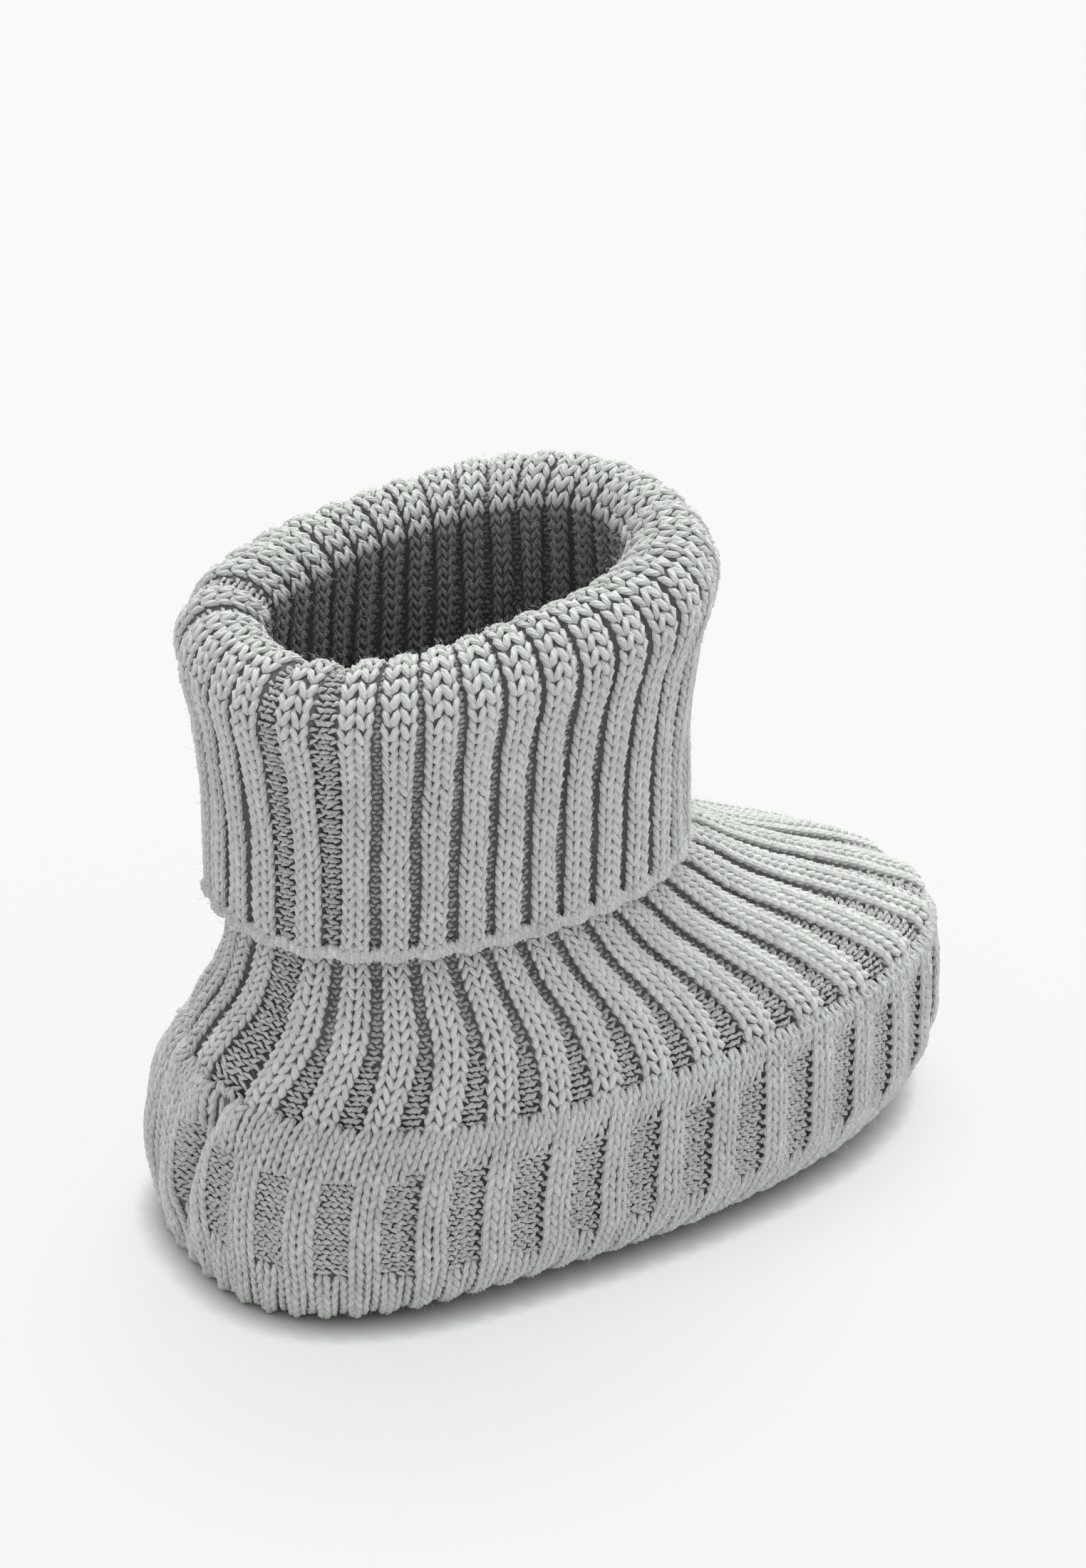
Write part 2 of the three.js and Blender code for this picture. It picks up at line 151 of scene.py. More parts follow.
class BootieShape(bpy.types.PropertyGroup):
    """Sizes of the bootie's form."""

    length: length_value("Heel to toe", 109.6)
    width: length_value("Across the foot", 62.0)
    widest_behind: length_value("How far the widest place lies towards the heel", 12.5)
    band_height: length_value("Floor to the band's top edge", 26.4)
    rim_fall: length_value("How much lower the band's top edge is at the toe", 1.8)
    rim_in_heel: length_value("How far the top edge lies inside the outline at the heel", 3.2)
    rim_in_sides: length_value("The same at the sides", 1.9)
    rim_out_toe: length_value("Overhang of the top edge at the toe", 0.4)
    turn_heel: length_value("Reach of the bottom's rounded edge at the heel", 2.0)
    turn_sides: length_value("The same at the sides", 10.0)
    turn_toe: length_value("The same at the toe", 8.5)
    toe_spring: length_value("Lift of the bottom under the tip of the toe", 3.4)
    toe_spring_length: length_value("Length over which the bottom lifts", 33.0)
    sole_wall: length_value("Thickness of the side band and bottom", 3.0)
    lip: length_value("Thickness of the band's turned top edge", 1.6)
    window_bottom: length_value("Height of the windows' lower edge", 8.6)
    window_top: length_value("Height of the windows' upper edge", 21.8)
    knit: length_value("Thickness of the fabric between the ribs", 1.6)
    rib_raise: length_value("Height of the ribs on the face that shows", 1.0)
    hem_depth: length_value("How far the upper reaches down inside the band", 6.2)
    shaft_behind: length_value("How far the shaft's centre lies towards the heel", 15.75)
    neck_height: length_value("Floor to the narrowest place", 49.4)
    neck_length: length_value("Heel side to toe side", 55.4)
    neck_width: length_value("Across the neck", 37.6)
    mouth_height: length_value("Floor to the middle of the roll", 85.0)
    mouth_length: length_value("Shaft's length at the mouth", 48.4)
    mouth_width: length_value("Shaft's width at the mouth", 31.4)
    mouth_tilt: length_value("How much higher the roll is on the toe side", 6.6)
    roll_ends: length_value("Shaft to cuff at the heel and toe side", 7.2)
    roll_sides: length_value("Shaft to cuff at the sides", 8.0)
    roll_rise: length_value("Height of the roll above its middle", 3.5)
    seam_in: length_value("Ribs' crest to the band's outer edge", 0.55)
    seam_up: length_value("How far the ribs stand above the band's edge where they meet it", 0.4)
    edge_height: length_value("Floor to the cuff's edge", 48.9)
    edge_length: length_value("Cuff's length at its edge", 60.3)
    edge_width: length_value("Cuff's width at its edge", 43.2)
    insole_thickness: length_value("Thickness of the insole", 2.4)
    ribs: bpy.props.IntProperty(description="Ribs round the foot", default=34, min=8)


class BootieKnit(bpy.types.PropertyGroup):
    """Sizes and colours of the stitches."""

    row: length_value("Distance from stitch to stitch along a rib", 1.46)
    leg_length: length_value("Length of one side of a stitch", 2.15)
    leg_thickness: length_value("Height of a stitch's side", 1.0)
    leg_lean: number_value("Lean of a stitch's side", math.radians(21), subtype="ANGLE")
    gap: length_value("Width of the gap between two ribs", 1.4)
    gap_at_band: length_value("Width of the gap where the ribs meet the band", 3.5)
    bump_thickness: length_value("Thickness of a purl bump", 0.66)
    window_sink: length_value("How far the purl stitches lie below the band's face", 0.3)
    band_lean: number_value("Lean of a stitch's side on the band", math.radians(14), subtype="ANGLE")
    uneven: number_value("How much stitches differ in size", 0.07, subtype="FACTOR")
    seed: bpy.props.IntProperty(description="Seed of everything uneven", default=11)
    yarn: colour_value("Colour of the yarn", (0.735, 0.76, 0.725))
    # Painted shade: the cloth under and between the stitches is coloured far darker than the yarn, standing
    # for the shade in the crevices
    yarn_painted_shade: colour_value("Colour of the cloth between the stitches", (0.15, 0.157, 0.15))
    # Painted shade: the shaft's inner side is a darker copy of the yarn, standing for the shade inside the
    # opening
    inside: number_value("Brightness of the shaft's inner side against the yarn", 0.55)
    insole: colour_value("Colour of the insole's fabric", (0.5, 0.52, 0.5))


class BootieStage(bpy.types.PropertyGroup):
    """Floor and light."""

    floor: colour_value("Colour of the floor", (0.2, 0.197, 0.19))
    floor_glow: number_value("Light that the lit paper itself gives", 0.65)
    sun: number_value("Strength of the key light", 1.6)
    room: number_value("Brightness of the studio's walls", 0.84)


# Plan curves


def sizes():
    """The form's sizes in millimetres, by name."""
    shape = bpy.context.scene.bootie_shape
    return {name: getattr(shape, name) / MM for name in BootieShape.__annotations__ if name != "ribs"}


def mix(a, b, t):
    return a + (b - a) * t


def ramp(value, start, reach):
    """0 up to start and 1 from a reach further on, which may lie on either side of start."""
    return np.clip((value - start) / reach, 0, 1)


def unit(v):
    return v / np.maximum(np.linalg.norm(v, axis=-1, keepdims=True), 1e-9)


def loop(mid, heel, toe, side, square_heel, square_toe, z, tilt=0.0):
    """A closed plan curve: a rounded egg with its widest place at mid."""
    return np.array([mid, heel, toe, side, square_heel, square_toe, z, tilt], float)


def inset(base, heel, side, toe, z, tilt=None):
    """A plan curve that lies inside another one."""
    curve = base.copy()
    curve[1] -= heel
    curve[2] -= toe
    curve[3] -= side
    curve[6] = z
    if tilt is not None:
        curve[7] = tilt
    return curve


def blend(a, b, rise, heel, side, toe):
    """Blends two plan curves, with a share of its own for the heel, the sides and the toe."""
    heel_end = mix(a[0] - a[1], b[0] - b[1], heel)
    toe_end = mix(a[0] + a[2], b[0] + b[2], toe)
    mid = mix(a[0], b[0], side)
    return loop(mid, mid - heel_end, toe_end - mid, *mix(a[3:6], b[3:6], side), *mix(a[6:], b[6:], rise))


def plan_points(curve, shares):
    """Points at shares of the curve's length, from the toe round the right side."""
    mid, heel, toe, side, square_heel, square_toe, z, tilt = curve
    angle = np.linspace(0, math.pi, 721)
    c, s = np.cos(angle), np.sin(angle)
    power = 2 / np.where(c < 0, square_heel, square_toe)
    x = mid + np.where(c < 0, heel, toe) * np.sign(c) * np.abs(c) ** power
    y = side * np.abs(s) ** power
    length = np.concatenate([[0], np.cumsum(np.hypot(np.diff(x), np.diff(y)))])
    shares = np.mod(shares, 1.0)
    wanted = np.where(shares <= 0.5, shares, 1 - shares) * 2 * length[-1]
    px = np.interp(wanted, length, x)
    py = np.interp(wanted, length, y) * np.where(shares <= 0.5, -1, 1)
    middle = mid + (toe - heel) / 2
    return np.stack([px, py, z + tilt * (px - middle) / (heel + toe)], axis=-1)


def crowd(shares, amount):
    """Moves even shares towards the heel, on both sides alike."""
    shares = np.mod(shares, 1.0)
    q = np.where(shares <= 0.5, shares, 1 - shares) * 2
    moved = (q + amount * q * (1 - q)) / 2
    return np.where(shares <= 0.5, moved, 1 - moved)


def rib_layout(wide, crowding, sweep):
    """Shares of the plan curve for even columns, with equal columns to each rib.

    wide holds the slack grooves, crowding the pull towards the heel, and sweep how far
    the ribs are carried round the heel.
    """
    ribs = bpy.context.scene.bootie_shape.ribs
    slack = [wide.get(min(k, ribs - k), 0) for k in range(ribs + 1)]
    middles = [0.0]
    for k in range(1, ribs + 1):
        middles.append(middles[-1] + 1 + (slack[k - 1] + slack[k]) / 2)
    edge, knots, places = 0.12, [], []
    for k in range(ribs):
        knots += [k, k + edge, k + 1 - edge]
        places += [middles[k], middles[k] + slack[k] / 2 + edge, middles[k + 1] - slack[k + 1] / 2 - edge]
    units = np.arange(COLUMNS) / COLUMNS * ribs
    shares = np.interp(units, knots + [ribs], places + [middles[-1]]) / middles[-1]
    at, extra = zip(*RIB_SWEEP)
    return np.mod(crowd(shares, crowding) + sweep * np.interp(shares, at, extra), 1.0)


def spring(x, s):
    """Lift of the bottom towards the tip of the toe."""
    t = (x - (s["length"] / 2 - s["toe_spring_length"])) / s["toe_spring_length"]
    return s["toe_spring"] * np.clip(t, 0, None) ** 2


def outline_shift():
    """How far the frame was moved so that its outline is centred."""
    return CAD_BOX[0][0] / MM + FRAME_HALF_LENGTH


def plan_curves(s):
    """The band's widest outline and its rim."""
    widest = loop(-s["widest_behind"], s["length"] / 2 - s["widest_behind"],
                  s["length"] / 2 + s["widest_behind"], s["width"] / 2, SQUARE_HEEL, SQUARE_TOE, 0)
    rim = inset(widest, s["rim_in_heel"], s["rim_in_sides"], -s["rim_out_toe"],
                s["band_height"], -s["rim_fall"])
    rim[4] = SQUARE_RIM
    return widest, rim


def tray_curve(s, z, turn, rim_share, all_in):
    """Plan curve of the tray at a height."""
    curve = inset(
        plan_curves(s)[0],
        s["turn_heel"] * turn + s["rim_in_heel"] * rim_share + all_in,
        s["turn_sides"] * turn + s["rim_in_sides"] * rim_share + all_in,
        s["turn_toe"] * turn - s["rim_out_toe"] * rim_share + all_in,
        z, -s["rim_fall"] * (z / s["band_height"]) ** 2,
    )
    curve[4] += (SQUARE_RIM - SQUARE_HEEL) * rim_share + (SQUARE_LOW - SQUARE_HEEL) * turn
    return curve


def tray_points(s, z, turn, rim_share, all_in, shares):
    """Points of the tray at a height, with the toe's lift."""
    points = plan_points(tray_curve(s, z, turn, rim_share, all_in), shares)
    points[:, 2] += spring(points[:, 0], s) * (1 - z / s["band_height"])
    points[:, 0] += outline_shift()
    return points


# Knitted surfaces


class Surface:
    """Knitted cloth as a grid. Rows follow the wales, columns go round the foot."""

    def __init__(self, stations, rows, relief):
        """stations is an array of points, one row of columns for each place on the path.

        relief gives the height of soft hollows and swellings for the points and columns.
        """
        step = np.linalg.norm(np.diff(stations, axis=0), axis=2).mean(axis=1)
        self.knots = np.concatenate([[0], np.cumsum(step)])
        slopes = np.diff(stations, axis=0) / step[:, None, None]
        before, after = step[:-1, None, None], step[1:, None, None]
        middle = (slopes[:-1] * after + slopes[1:] * before) / (before + after)
        tangents = np.concatenate([slopes[:1], middle, slopes[-1:]])
        self.path = np.linspace(0, self.knots[-1], rows)
        k = np.clip(np.searchsorted(self.knots, self.path, side="right") - 1, 0, len(step) - 1)
        h = step[k][:, None, None]
        t = ((self.path - self.knots[k]) / step[k])[:, None, None]
        self.points = (
            (2 * t**3 - 3 * t**2 + 1) * stations[k] + (t**3 - 2 * t**2 + t) * h * tangents[k]
            + (3 * t**2 - 2 * t**3) * stations[k + 1] + (t**3 - t**2) * h * tangents[k + 1]
        )
        self.columns = stations.shape[1]
        height = relief(self, np.arange(self.columns) / self.columns)
        self.points = self.points + self.frame()[2] * height[..., None]
        self.along, self.round, self.normal = self.frame()
        around = np.roll(self.points, -1, axis=1) - np.roll(self.points, 1, axis=1)
        self.spread = np.linalg.norm(around, axis=2) * self.columns / 2
        lengths = np.linalg.norm(np.diff(self.points, axis=0), axis=2)
        self.lengths = np.concatenate([np.zeros((1, self.columns)), np.cumsum(lengths, axis=0)])

    def frame(self):
        """Directions along the wale and round the foot, and the normal, at every point."""
        along = unit(np.gradient(self.points, axis=0))
        around = unit(np.roll(self.points, -1, axis=1) - np.roll(self.points, 1, axis=1))
        return along, around, unit(np.cross(along, around))

    def pick(self, grid, row, share):
        """Value of a grid at a row number and a share of the way round."""
        row = np.clip(np.asarray(row, float), 0, len(self.path) - 1.001)
        column = np.mod(np.asarray(share, float), 1.0) * self.columns
        i, j = row.astype(int), column.astype(int) % self.columns
        u, v = row - i, column - np.floor(column)
        if grid.ndim == 3:
            u, v = u[..., None], v[..., None]
        k = (j + 1) % self.columns
        near = grid[i, j] * (1 - v) + grid[i, k] * v
        far = grid[i + 1, j] * (1 - v) + grid[i + 1, k] * v
        return near * (1 - u) + far * u

    def sample(self, row, share):
        """Point, direction along the wale, direction round the foot and normal."""
        directions = [unit(self.pick(grid, row, share)) for grid in (self.along, self.round, self.normal)]
        return self.pick(self.points, row, share), *directions

    def row_at(self, station):
        """Row number at a station, which may be a fraction."""
        value = np.interp(station, np.arange(len(self.knots)), self.knots)
        return np.interp(value, self.path, np.arange(len(self.path)))

    def rows_along(self, share, start, end, step):
        """Row numbers at even distances along one wale, between two row numbers."""
        j = int(round((share % 1.0) * self.columns)) % self.columns
        lengths = self.lengths[:, j]
        numbers = np.arange(len(self.path))
        first, last = np.interp([start, end], numbers, lengths)
        count = max(int(round((last - first) / step)), 1)
        wanted = first + (np.arange(count) + 0.5) * (last - first) / count
        return np.interp(wanted, lengths, numbers)


def swell(shares, z, size, seed):
    """Soft unevenness of hand-shaped cloth, closed round the foot."""
    rng = np.random.default_rng(seed)
    height = 0
    for turns, rise in ((3, 0.05), (5, 0.09), (8, 0.13), (13, 0.21), (21, 0.3)):
        a, b = rng.uniform(0, 2 * math.pi, 2)
        wave = np.sin(2 * math.pi * turns * shares + a) * np.sin(rise * z + b)
        height = height + wave * (3 / turns) ** 0.4
    return size * height


def upper_relief(surface, shares):
    """Slight unevenness of the foot and the cuff."""
    path = surface.path[:, None]
    return swell(shares[None, :], path, 0.14, 5) * ramp(path, surface.knots[RIM], 6)


def band_relief(surface, shares):
    """Ribs that stand out between the windows, the scalloped bottom edge, and the heel's creases."""
    top, z = sizes()["band_height"], surface.points[..., 2]
    shares = np.broadcast_to(shares, z.shape)
    turns = 2 * math.pi * bpy.context.scene.bootie_shape.ribs * shares
    outer = (surface.path < surface.knots[BAND_CREST])[:, None] * np.ones_like(shares)
    height = -0.32 * np.cos(turns) * ramp(z, 5.5, 4) * ramp(z, top - 2.5, -3)
    # Towards the toe each window slopes in, up to a crease beside the next rib
    mirrored = np.where(shares < 0.5, shares, 1 - shares)
    step = np.mod(bpy.context.scene.bootie_shape.ribs * mirrored + 0.25, 1.0)
    slope = 0.55 * step - 0.3 - 0.12 * np.exp(-((np.minimum(step, 1 - step) / 0.06) ** 2))
    height = height + ramp(mirrored, 0.4, -0.06) * ramp(z, 6.5, 4) * ramp(z, top - 1.5, -4) * slope
    height = height + 0.34 * ramp(z, 7.5, -6.5) * np.sin(2 * turns + 0.6)
    height = height + swell(shares, z, 0.2, 9) * ramp(z, top, -5)
    for at, lean, depth, reach in HEEL_CREASES:
        away = (shares - at - lean * (z / top - 1)) * BAND_GIRTH
        trough = np.exp(-(away / reach) ** 2) - 0.35 * np.exp(-((np.abs(away) - 2.2 * reach) / reach) ** 2)
        height = height - depth * trough * ramp(z, 1.0, 6)
    return height * outer


def upper_surface():
    """Mid cloth of the foot, shaft, roll and cuff, with the ribs' height on its two faces."""
    s = sizes()
    rim = plan_curves(s)[1]
    seat = s["rib_raise"] + s["knit"] / 2 + s["seam_in"]
    rim_line = inset(rim, seat, seat, seat, rim[6] + s["seam_up"])
    hem_rib, hem_clearance = 0.4, 0.6
    hem_seat = hem_clearance + hem_rib * s["rib_raise"] + s["knit"] / 2
    inner = tray_curve(s, s["band_height"] - s["hem_depth"], 0, 0.4, s["sole_wall"])
    hem = inset(inner, hem_seat, hem_seat, hem_seat, rim[6] - s["hem_depth"], rim[7])

    def shaft(part, square, tilt=0.0):
        length, width = s[part + "_length"] / 2, s[part + "_width"] / 2
        return loop(-s["shaft_behind"], length, length, width, square, square, s[part + "_height"], tilt)

    neck, mouth, edge = shaft("neck", 2.2), shaft("mouth", 2.5, s["mouth_tilt"]), shaft("edge", 2.2)
    top = inset(mouth, -s["roll_ends"], -s["roll_sides"], -s["roll_ends"], s["mouth_height"])
    on_foot, on_roll, on_edge = (
        rib_layout(wide, CROWD_ON_SHAFT, 0.0) for wide in (WIDE_ON_FOOT, WIDE_ON_ROLL, WIDE_ON_EDGE))
    # Plan curve, where the ribs lie on it, and their height on the outer and inner face
    rows = [(hem, rib_layout(WIDE_ON_FOOT, CROWD_ON_FOOT, 1.0), hem_rib, 0.0)]
    for rise, heel, side, toe in FOOT_SECTIONS:
        out, back = (1.0 if rise < 1 else 0.1), (0.0 if rise < 0.7 else rise)
        lay = rib_layout(WIDE_ON_FOOT, mix(CROWD_ON_FOOT, CROWD_ON_SHAFT, rise), mix(1.0, 0.3, rise))
        rows.append((blend(rim_line, neck, rise, heel, side, toe), lay, out, back))
    for rise in SHAFT_RISES:
        rows.append((blend(neck, mouth, rise, rise, rise, rise), mix(on_foot, on_roll, rise), 0.0, 1.0))
    for degrees in ROLL_ANGLES:
        angle = math.radians(degrees)
        way = (1 - math.cos(angle)) / 2
        curve = blend(mouth, top, way, way, way, way)
        curve[6] += s["roll_rise"] * math.sin(angle)
        rows.append((curve, on_roll, 0.0, 1.0))
    for rise, heel, side, toe in CUFF_SECTIONS:
        rows.append((blend(edge, top, rise, heel, side, toe), mix(on_edge, on_roll, rise), 0.0, 1.0))
    stations = np.array([plan_points(curve, lay) for curve, lay, _, _ in rows])
    stations[..., 0] += outline_shift()
    surface = Surface(stations, 260, upper_relief)
    surface.out, surface.back = (
        np.interp(surface.path, surface.knots, [row[column] for row in rows]) for column in (2, 3))
    return surface


def band_surface():
    """Outer face of the side band, from the bottom's edge up and over the rim."""
    s = sizes()
    top, low, high, lip = s["band_height"], s["window_bottom"], s["window_top"], s["lip"]
    # Height, turn of the lower edge, share of the rim, inset from the outside
    sections = [(z * s["turn_sides"], turn, 0, 0) for z, turn in BAND_TURN] + [
        (low, 0.03, 0, 0), (mix(low, high, 0.5), 0, 0.05, 0), (high, 0, 0.45, 0), (top - 1.0, 0, 0.9, 0),
        (top - 0.2, 0, 1, 0.35 * lip), (top - 0.5, 0, 1, lip), (top - 2.2, 0, 0.9, 1.2 * lip)]
    shares = np.arange(COLUMNS) / COLUMNS
    return Surface(np.array([tray_points(s, *section, shares) for section in sections]), 160, band_relief)


class Ribs:
    """Where the ribs and the gaps lie on the upper, for any row."""

    def __init__(self):
        knit = bpy.context.scene.bootie_knit
        self.surface = upper_surface()
        self.count = bpy.context.scene.bootie_shape.ribs
        self.pitch = 1 / self.count
        self.grooves = np.arange(self.count) / self.count
        self.centres = self.grooves + self.pitch / 2
        self.narrow, self.wide = knit.gap / MM, knit.gap_at_band / MM
        stations = RIM, LOW_FOOT, ROLL_TOP, ROLL_END
        self.rim_row, self.foot_row, self.roll_row, roll_end = map(self.surface.row_at, stations)
        self.roll_reach = roll_end - self.roll_row

    def half_width(self, row, share):
        """Half of a rib's width, and the way round the foot there, in millimetres."""
        row = np.asarray(row, float)
        spread = self.surface.pick(self.surface.spread, row, share)
        near_band = ramp(row, self.foot_row, self.rim_row - self.foot_row)
        gap = mix(self.narrow, self.wide, near_band**1.3)
        on_roll = np.exp(-((row - self.roll_row) / self.roll_reach) ** 2)
        gap = gap - 0.62 * self.narrow * on_roll
        full = spread * self.pitch
        return np.maximum(full - gap, 0.6 * full) / 2, spread

    def room(self, row, k):
        """Width of gap k, between the edges of its two ribs, in millimetres."""
        sides = self.centres[k - 1], self.centres[k]
        points = self.surface.points
        left, right = (self.surface.pick(points, row, np.full(row.shape, side)) for side in sides)
        apart = np.linalg.norm(right - left, axis=-1)
        return apart - self.half_width(row, sides[0])[0] - self.half_width(row, sides[1])[0]


# Meshes


def new_mesh_object(name, points, faces, smooth=True):
    """A mesh object at the origin, from points in millimetres."""
    mesh = bpy.data.meshes.new(name)
    mesh.from_pydata((np.asarray(points) * MM).tolist(), [], faces)
    mesh.polygons.foreach_set("use_smooth", [smooth] * len(mesh.polygons))
    mesh.update()
    mesh.validate()
    piece = bpy.data.objects.new(name, mesh)
    bpy.context.scene.collection.objects.link(piece)
    return piece


def loft(name, rings, tube=False):
    """A skin over rings of points: a closed tube, or with a face over its first and last ring."""
    count = len(rings[0])
    j = np.arange(count)
    k = (j + 1) % count
    faces = []
    for i in range(len(rings) if tube else len(rings) - 1):
        first, second = i * count, (i + 1) % len(rings) * count
        faces += np.stack([first + k, second + k, second + j, first + j], axis=1).tolist()
    if not tube:
        faces.append(j[::-1].tolist())
        faces.append((j + (len(rings) - 1) * count).tolist())
    return new_mesh_object(name, np.concatenate(rings), faces)


def finish_piece(piece, node, material=None):
    """Gives a piece its material, puts it on its body and hides the frame's part that it stands in for."""
    if material is not None:
        piece.data.materials.append(material)
    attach(piece, "root")
    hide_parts(node)
    return piece


# Materials


class Nodes:
    """Short hand for building a node tree."""

    def __init__(self, tree):
        self.tree = tree

    @classmethod
    def of(cls, owner):
        """The emptied tree of a material or world."""
        owner.use_nodes = True
        owner.node_tree.nodes.clear()
        return cls(owner.node_tree)

    def add(self, kind, inputs=None, **options):
        """Adds a node, sets or links its inputs, and returns it."""
        node = self.tree.nodes.new(kind)
        for key, value in options.items():
            setattr(node, key, value)
        for key, value in (inputs or {}).items():
            if isinstance(value, bpy.types.NodeSocket):
                self.tree.links.new(value, node.inputs[key])
            else:
                node.inputs[key].default_value = value
        return node

    def math(self, kind, *values):
        return self.add("ShaderNodeMath", dict(enumerate(values)), operation=kind).outputs[0]

    def xyz(self, *values):
        return self.add("ShaderNodeCombineXYZ", dict(enumerate(values))).outputs[0]

    def split(self, vector):
        return self.add("ShaderNodeSeparateXYZ", {0: vector}).outputs


def knit_height(n, place):
    """Height of plain knitting as a pattern, for the underside: wales along the foot."""
    wale, row = 0.0024, 0.00146
    x, y, _ = n.split(place)
    side = n.math("ABSOLUTE", n.math("SINE", n.math("MULTIPLY", y, math.pi / wale)))
    lean = n.math("MULTIPLY", n.math("PINGPONG", y, wale / 2), 5200.0)
    run = n.math("MULTIPLY_ADD", x, 2 * math.pi / row, lean)
    return n.math("ADD", n.math("MULTIPLY", n.math("SINE", run), 0.8), n.math("MULTIPLY", side, 2.5))


def yarn_material(name, colour, stitched, knitted=False):
    """Soft cotton yarn. Stitches carry the twist of the yarn, and the cloth below is plainer."""
    found = bpy.data.materials.get(name)
    if found:
        return found
    material = bpy.data.materials.new(name)
    n = Nodes.of(material)
    place = n.add("ShaderNodeTexCoord").outputs["Object"]
    patches = n.add("ShaderNodeTexNoise", {"Vector": place, "Scale": 130.0, "Detail": 3.0}).outputs["Fac"]
    fibres = n.add("ShaderNodeTexNoise", {
        "Vector": place, "Scale": 3800.0, "Detail": 4.0, "Roughness": 0.7}).outputs["Fac"]
    tone = n.add("ShaderNodeAttribute", attribute_name="tone").outputs["Fac"]
    grain = n.math("MULTIPLY_ADD", fibres, 0.3, n.math("MULTIPLY_ADD", patches, 0.22, -0.11))
    shades = n.add("ShaderNodeValToRGB", {"Fac": n.math("ADD", grain, tone)})
    for stop, place_on_ramp, share in zip(shades.color_ramp.elements, (0.0, 0.36), (0.78, 1.14)):
        stop.position = place_on_ramp
        stop.color = (*[min(c * share, 1) for c in colour], 1)
    height = fibres
    if stitched:
        ply = n.split(n.add("ShaderNodeAttribute", attribute_name="ply").outputs["Vector"])
        strands = n.math("MULTIPLY", n.math("ARCTAN2", ply[1], ply[0]), 5.0)
        wave = n.math("SINE", n.math("MULTIPLY_ADD", ply[2], 22.0, strands))
        height = n.math("MULTIPLY_ADD", wave, 0.45, fibres)
    if knitted:
        height = n.math("ADD", height, knit_height(n, place))
    bump = n.add("ShaderNodeBump", {"Height": height, "Strength": 0.9, "Distance": 0.00015})
    shader = n.add("ShaderNodeBsdfPrincipled", {
        "Base Color": shades.outputs["Color"], "Normal": bump.outputs["Normal"],
        "Roughness": 0.92, "Specular IOR Level": 0.25, "Sheen Weight": 0.1, "Sheen Roughness": 0.5,
    })
    n.add("ShaderNodeOutputMaterial", {"Surface": shader.outputs["BSDF"]})
    return material


def floor_material():
    """Matt studio paper, evenly bright from its own glow, with a painted contact shadow: its glow is dimmed
    close to what stands on it.
    """
    stage = bpy.context.scene.bootie_stage
    material = bpy.data.materials.new("studio_paper_painted_contact_shadow")
    n = Nodes.of(material)
    # Painted contact shadow: the paper's glow is dimmed by ambient occlusion close to what stands on it
    near = n.add("ShaderNodeAmbientOcclusion", {"Distance": 0.0045}, samples=8).outputs["AO"]
    glow = n.math("MULTIPLY", n.math("POWER", near, 1.6), stage.floor_glow)
    shader = n.add("ShaderNodeBsdfPrincipled", {
        "Base Color": (*stage.floor, 1), "Roughness": 1.0, "Specular IOR Level": 0.0,
        "Emission Color": (0.99, 1.0, 1.012, 1), "Emission Strength": glow})
    n.add("ShaderNodeOutputMaterial", {"Surface": shader.outputs["BSDF"]})
    return material


# Stitches


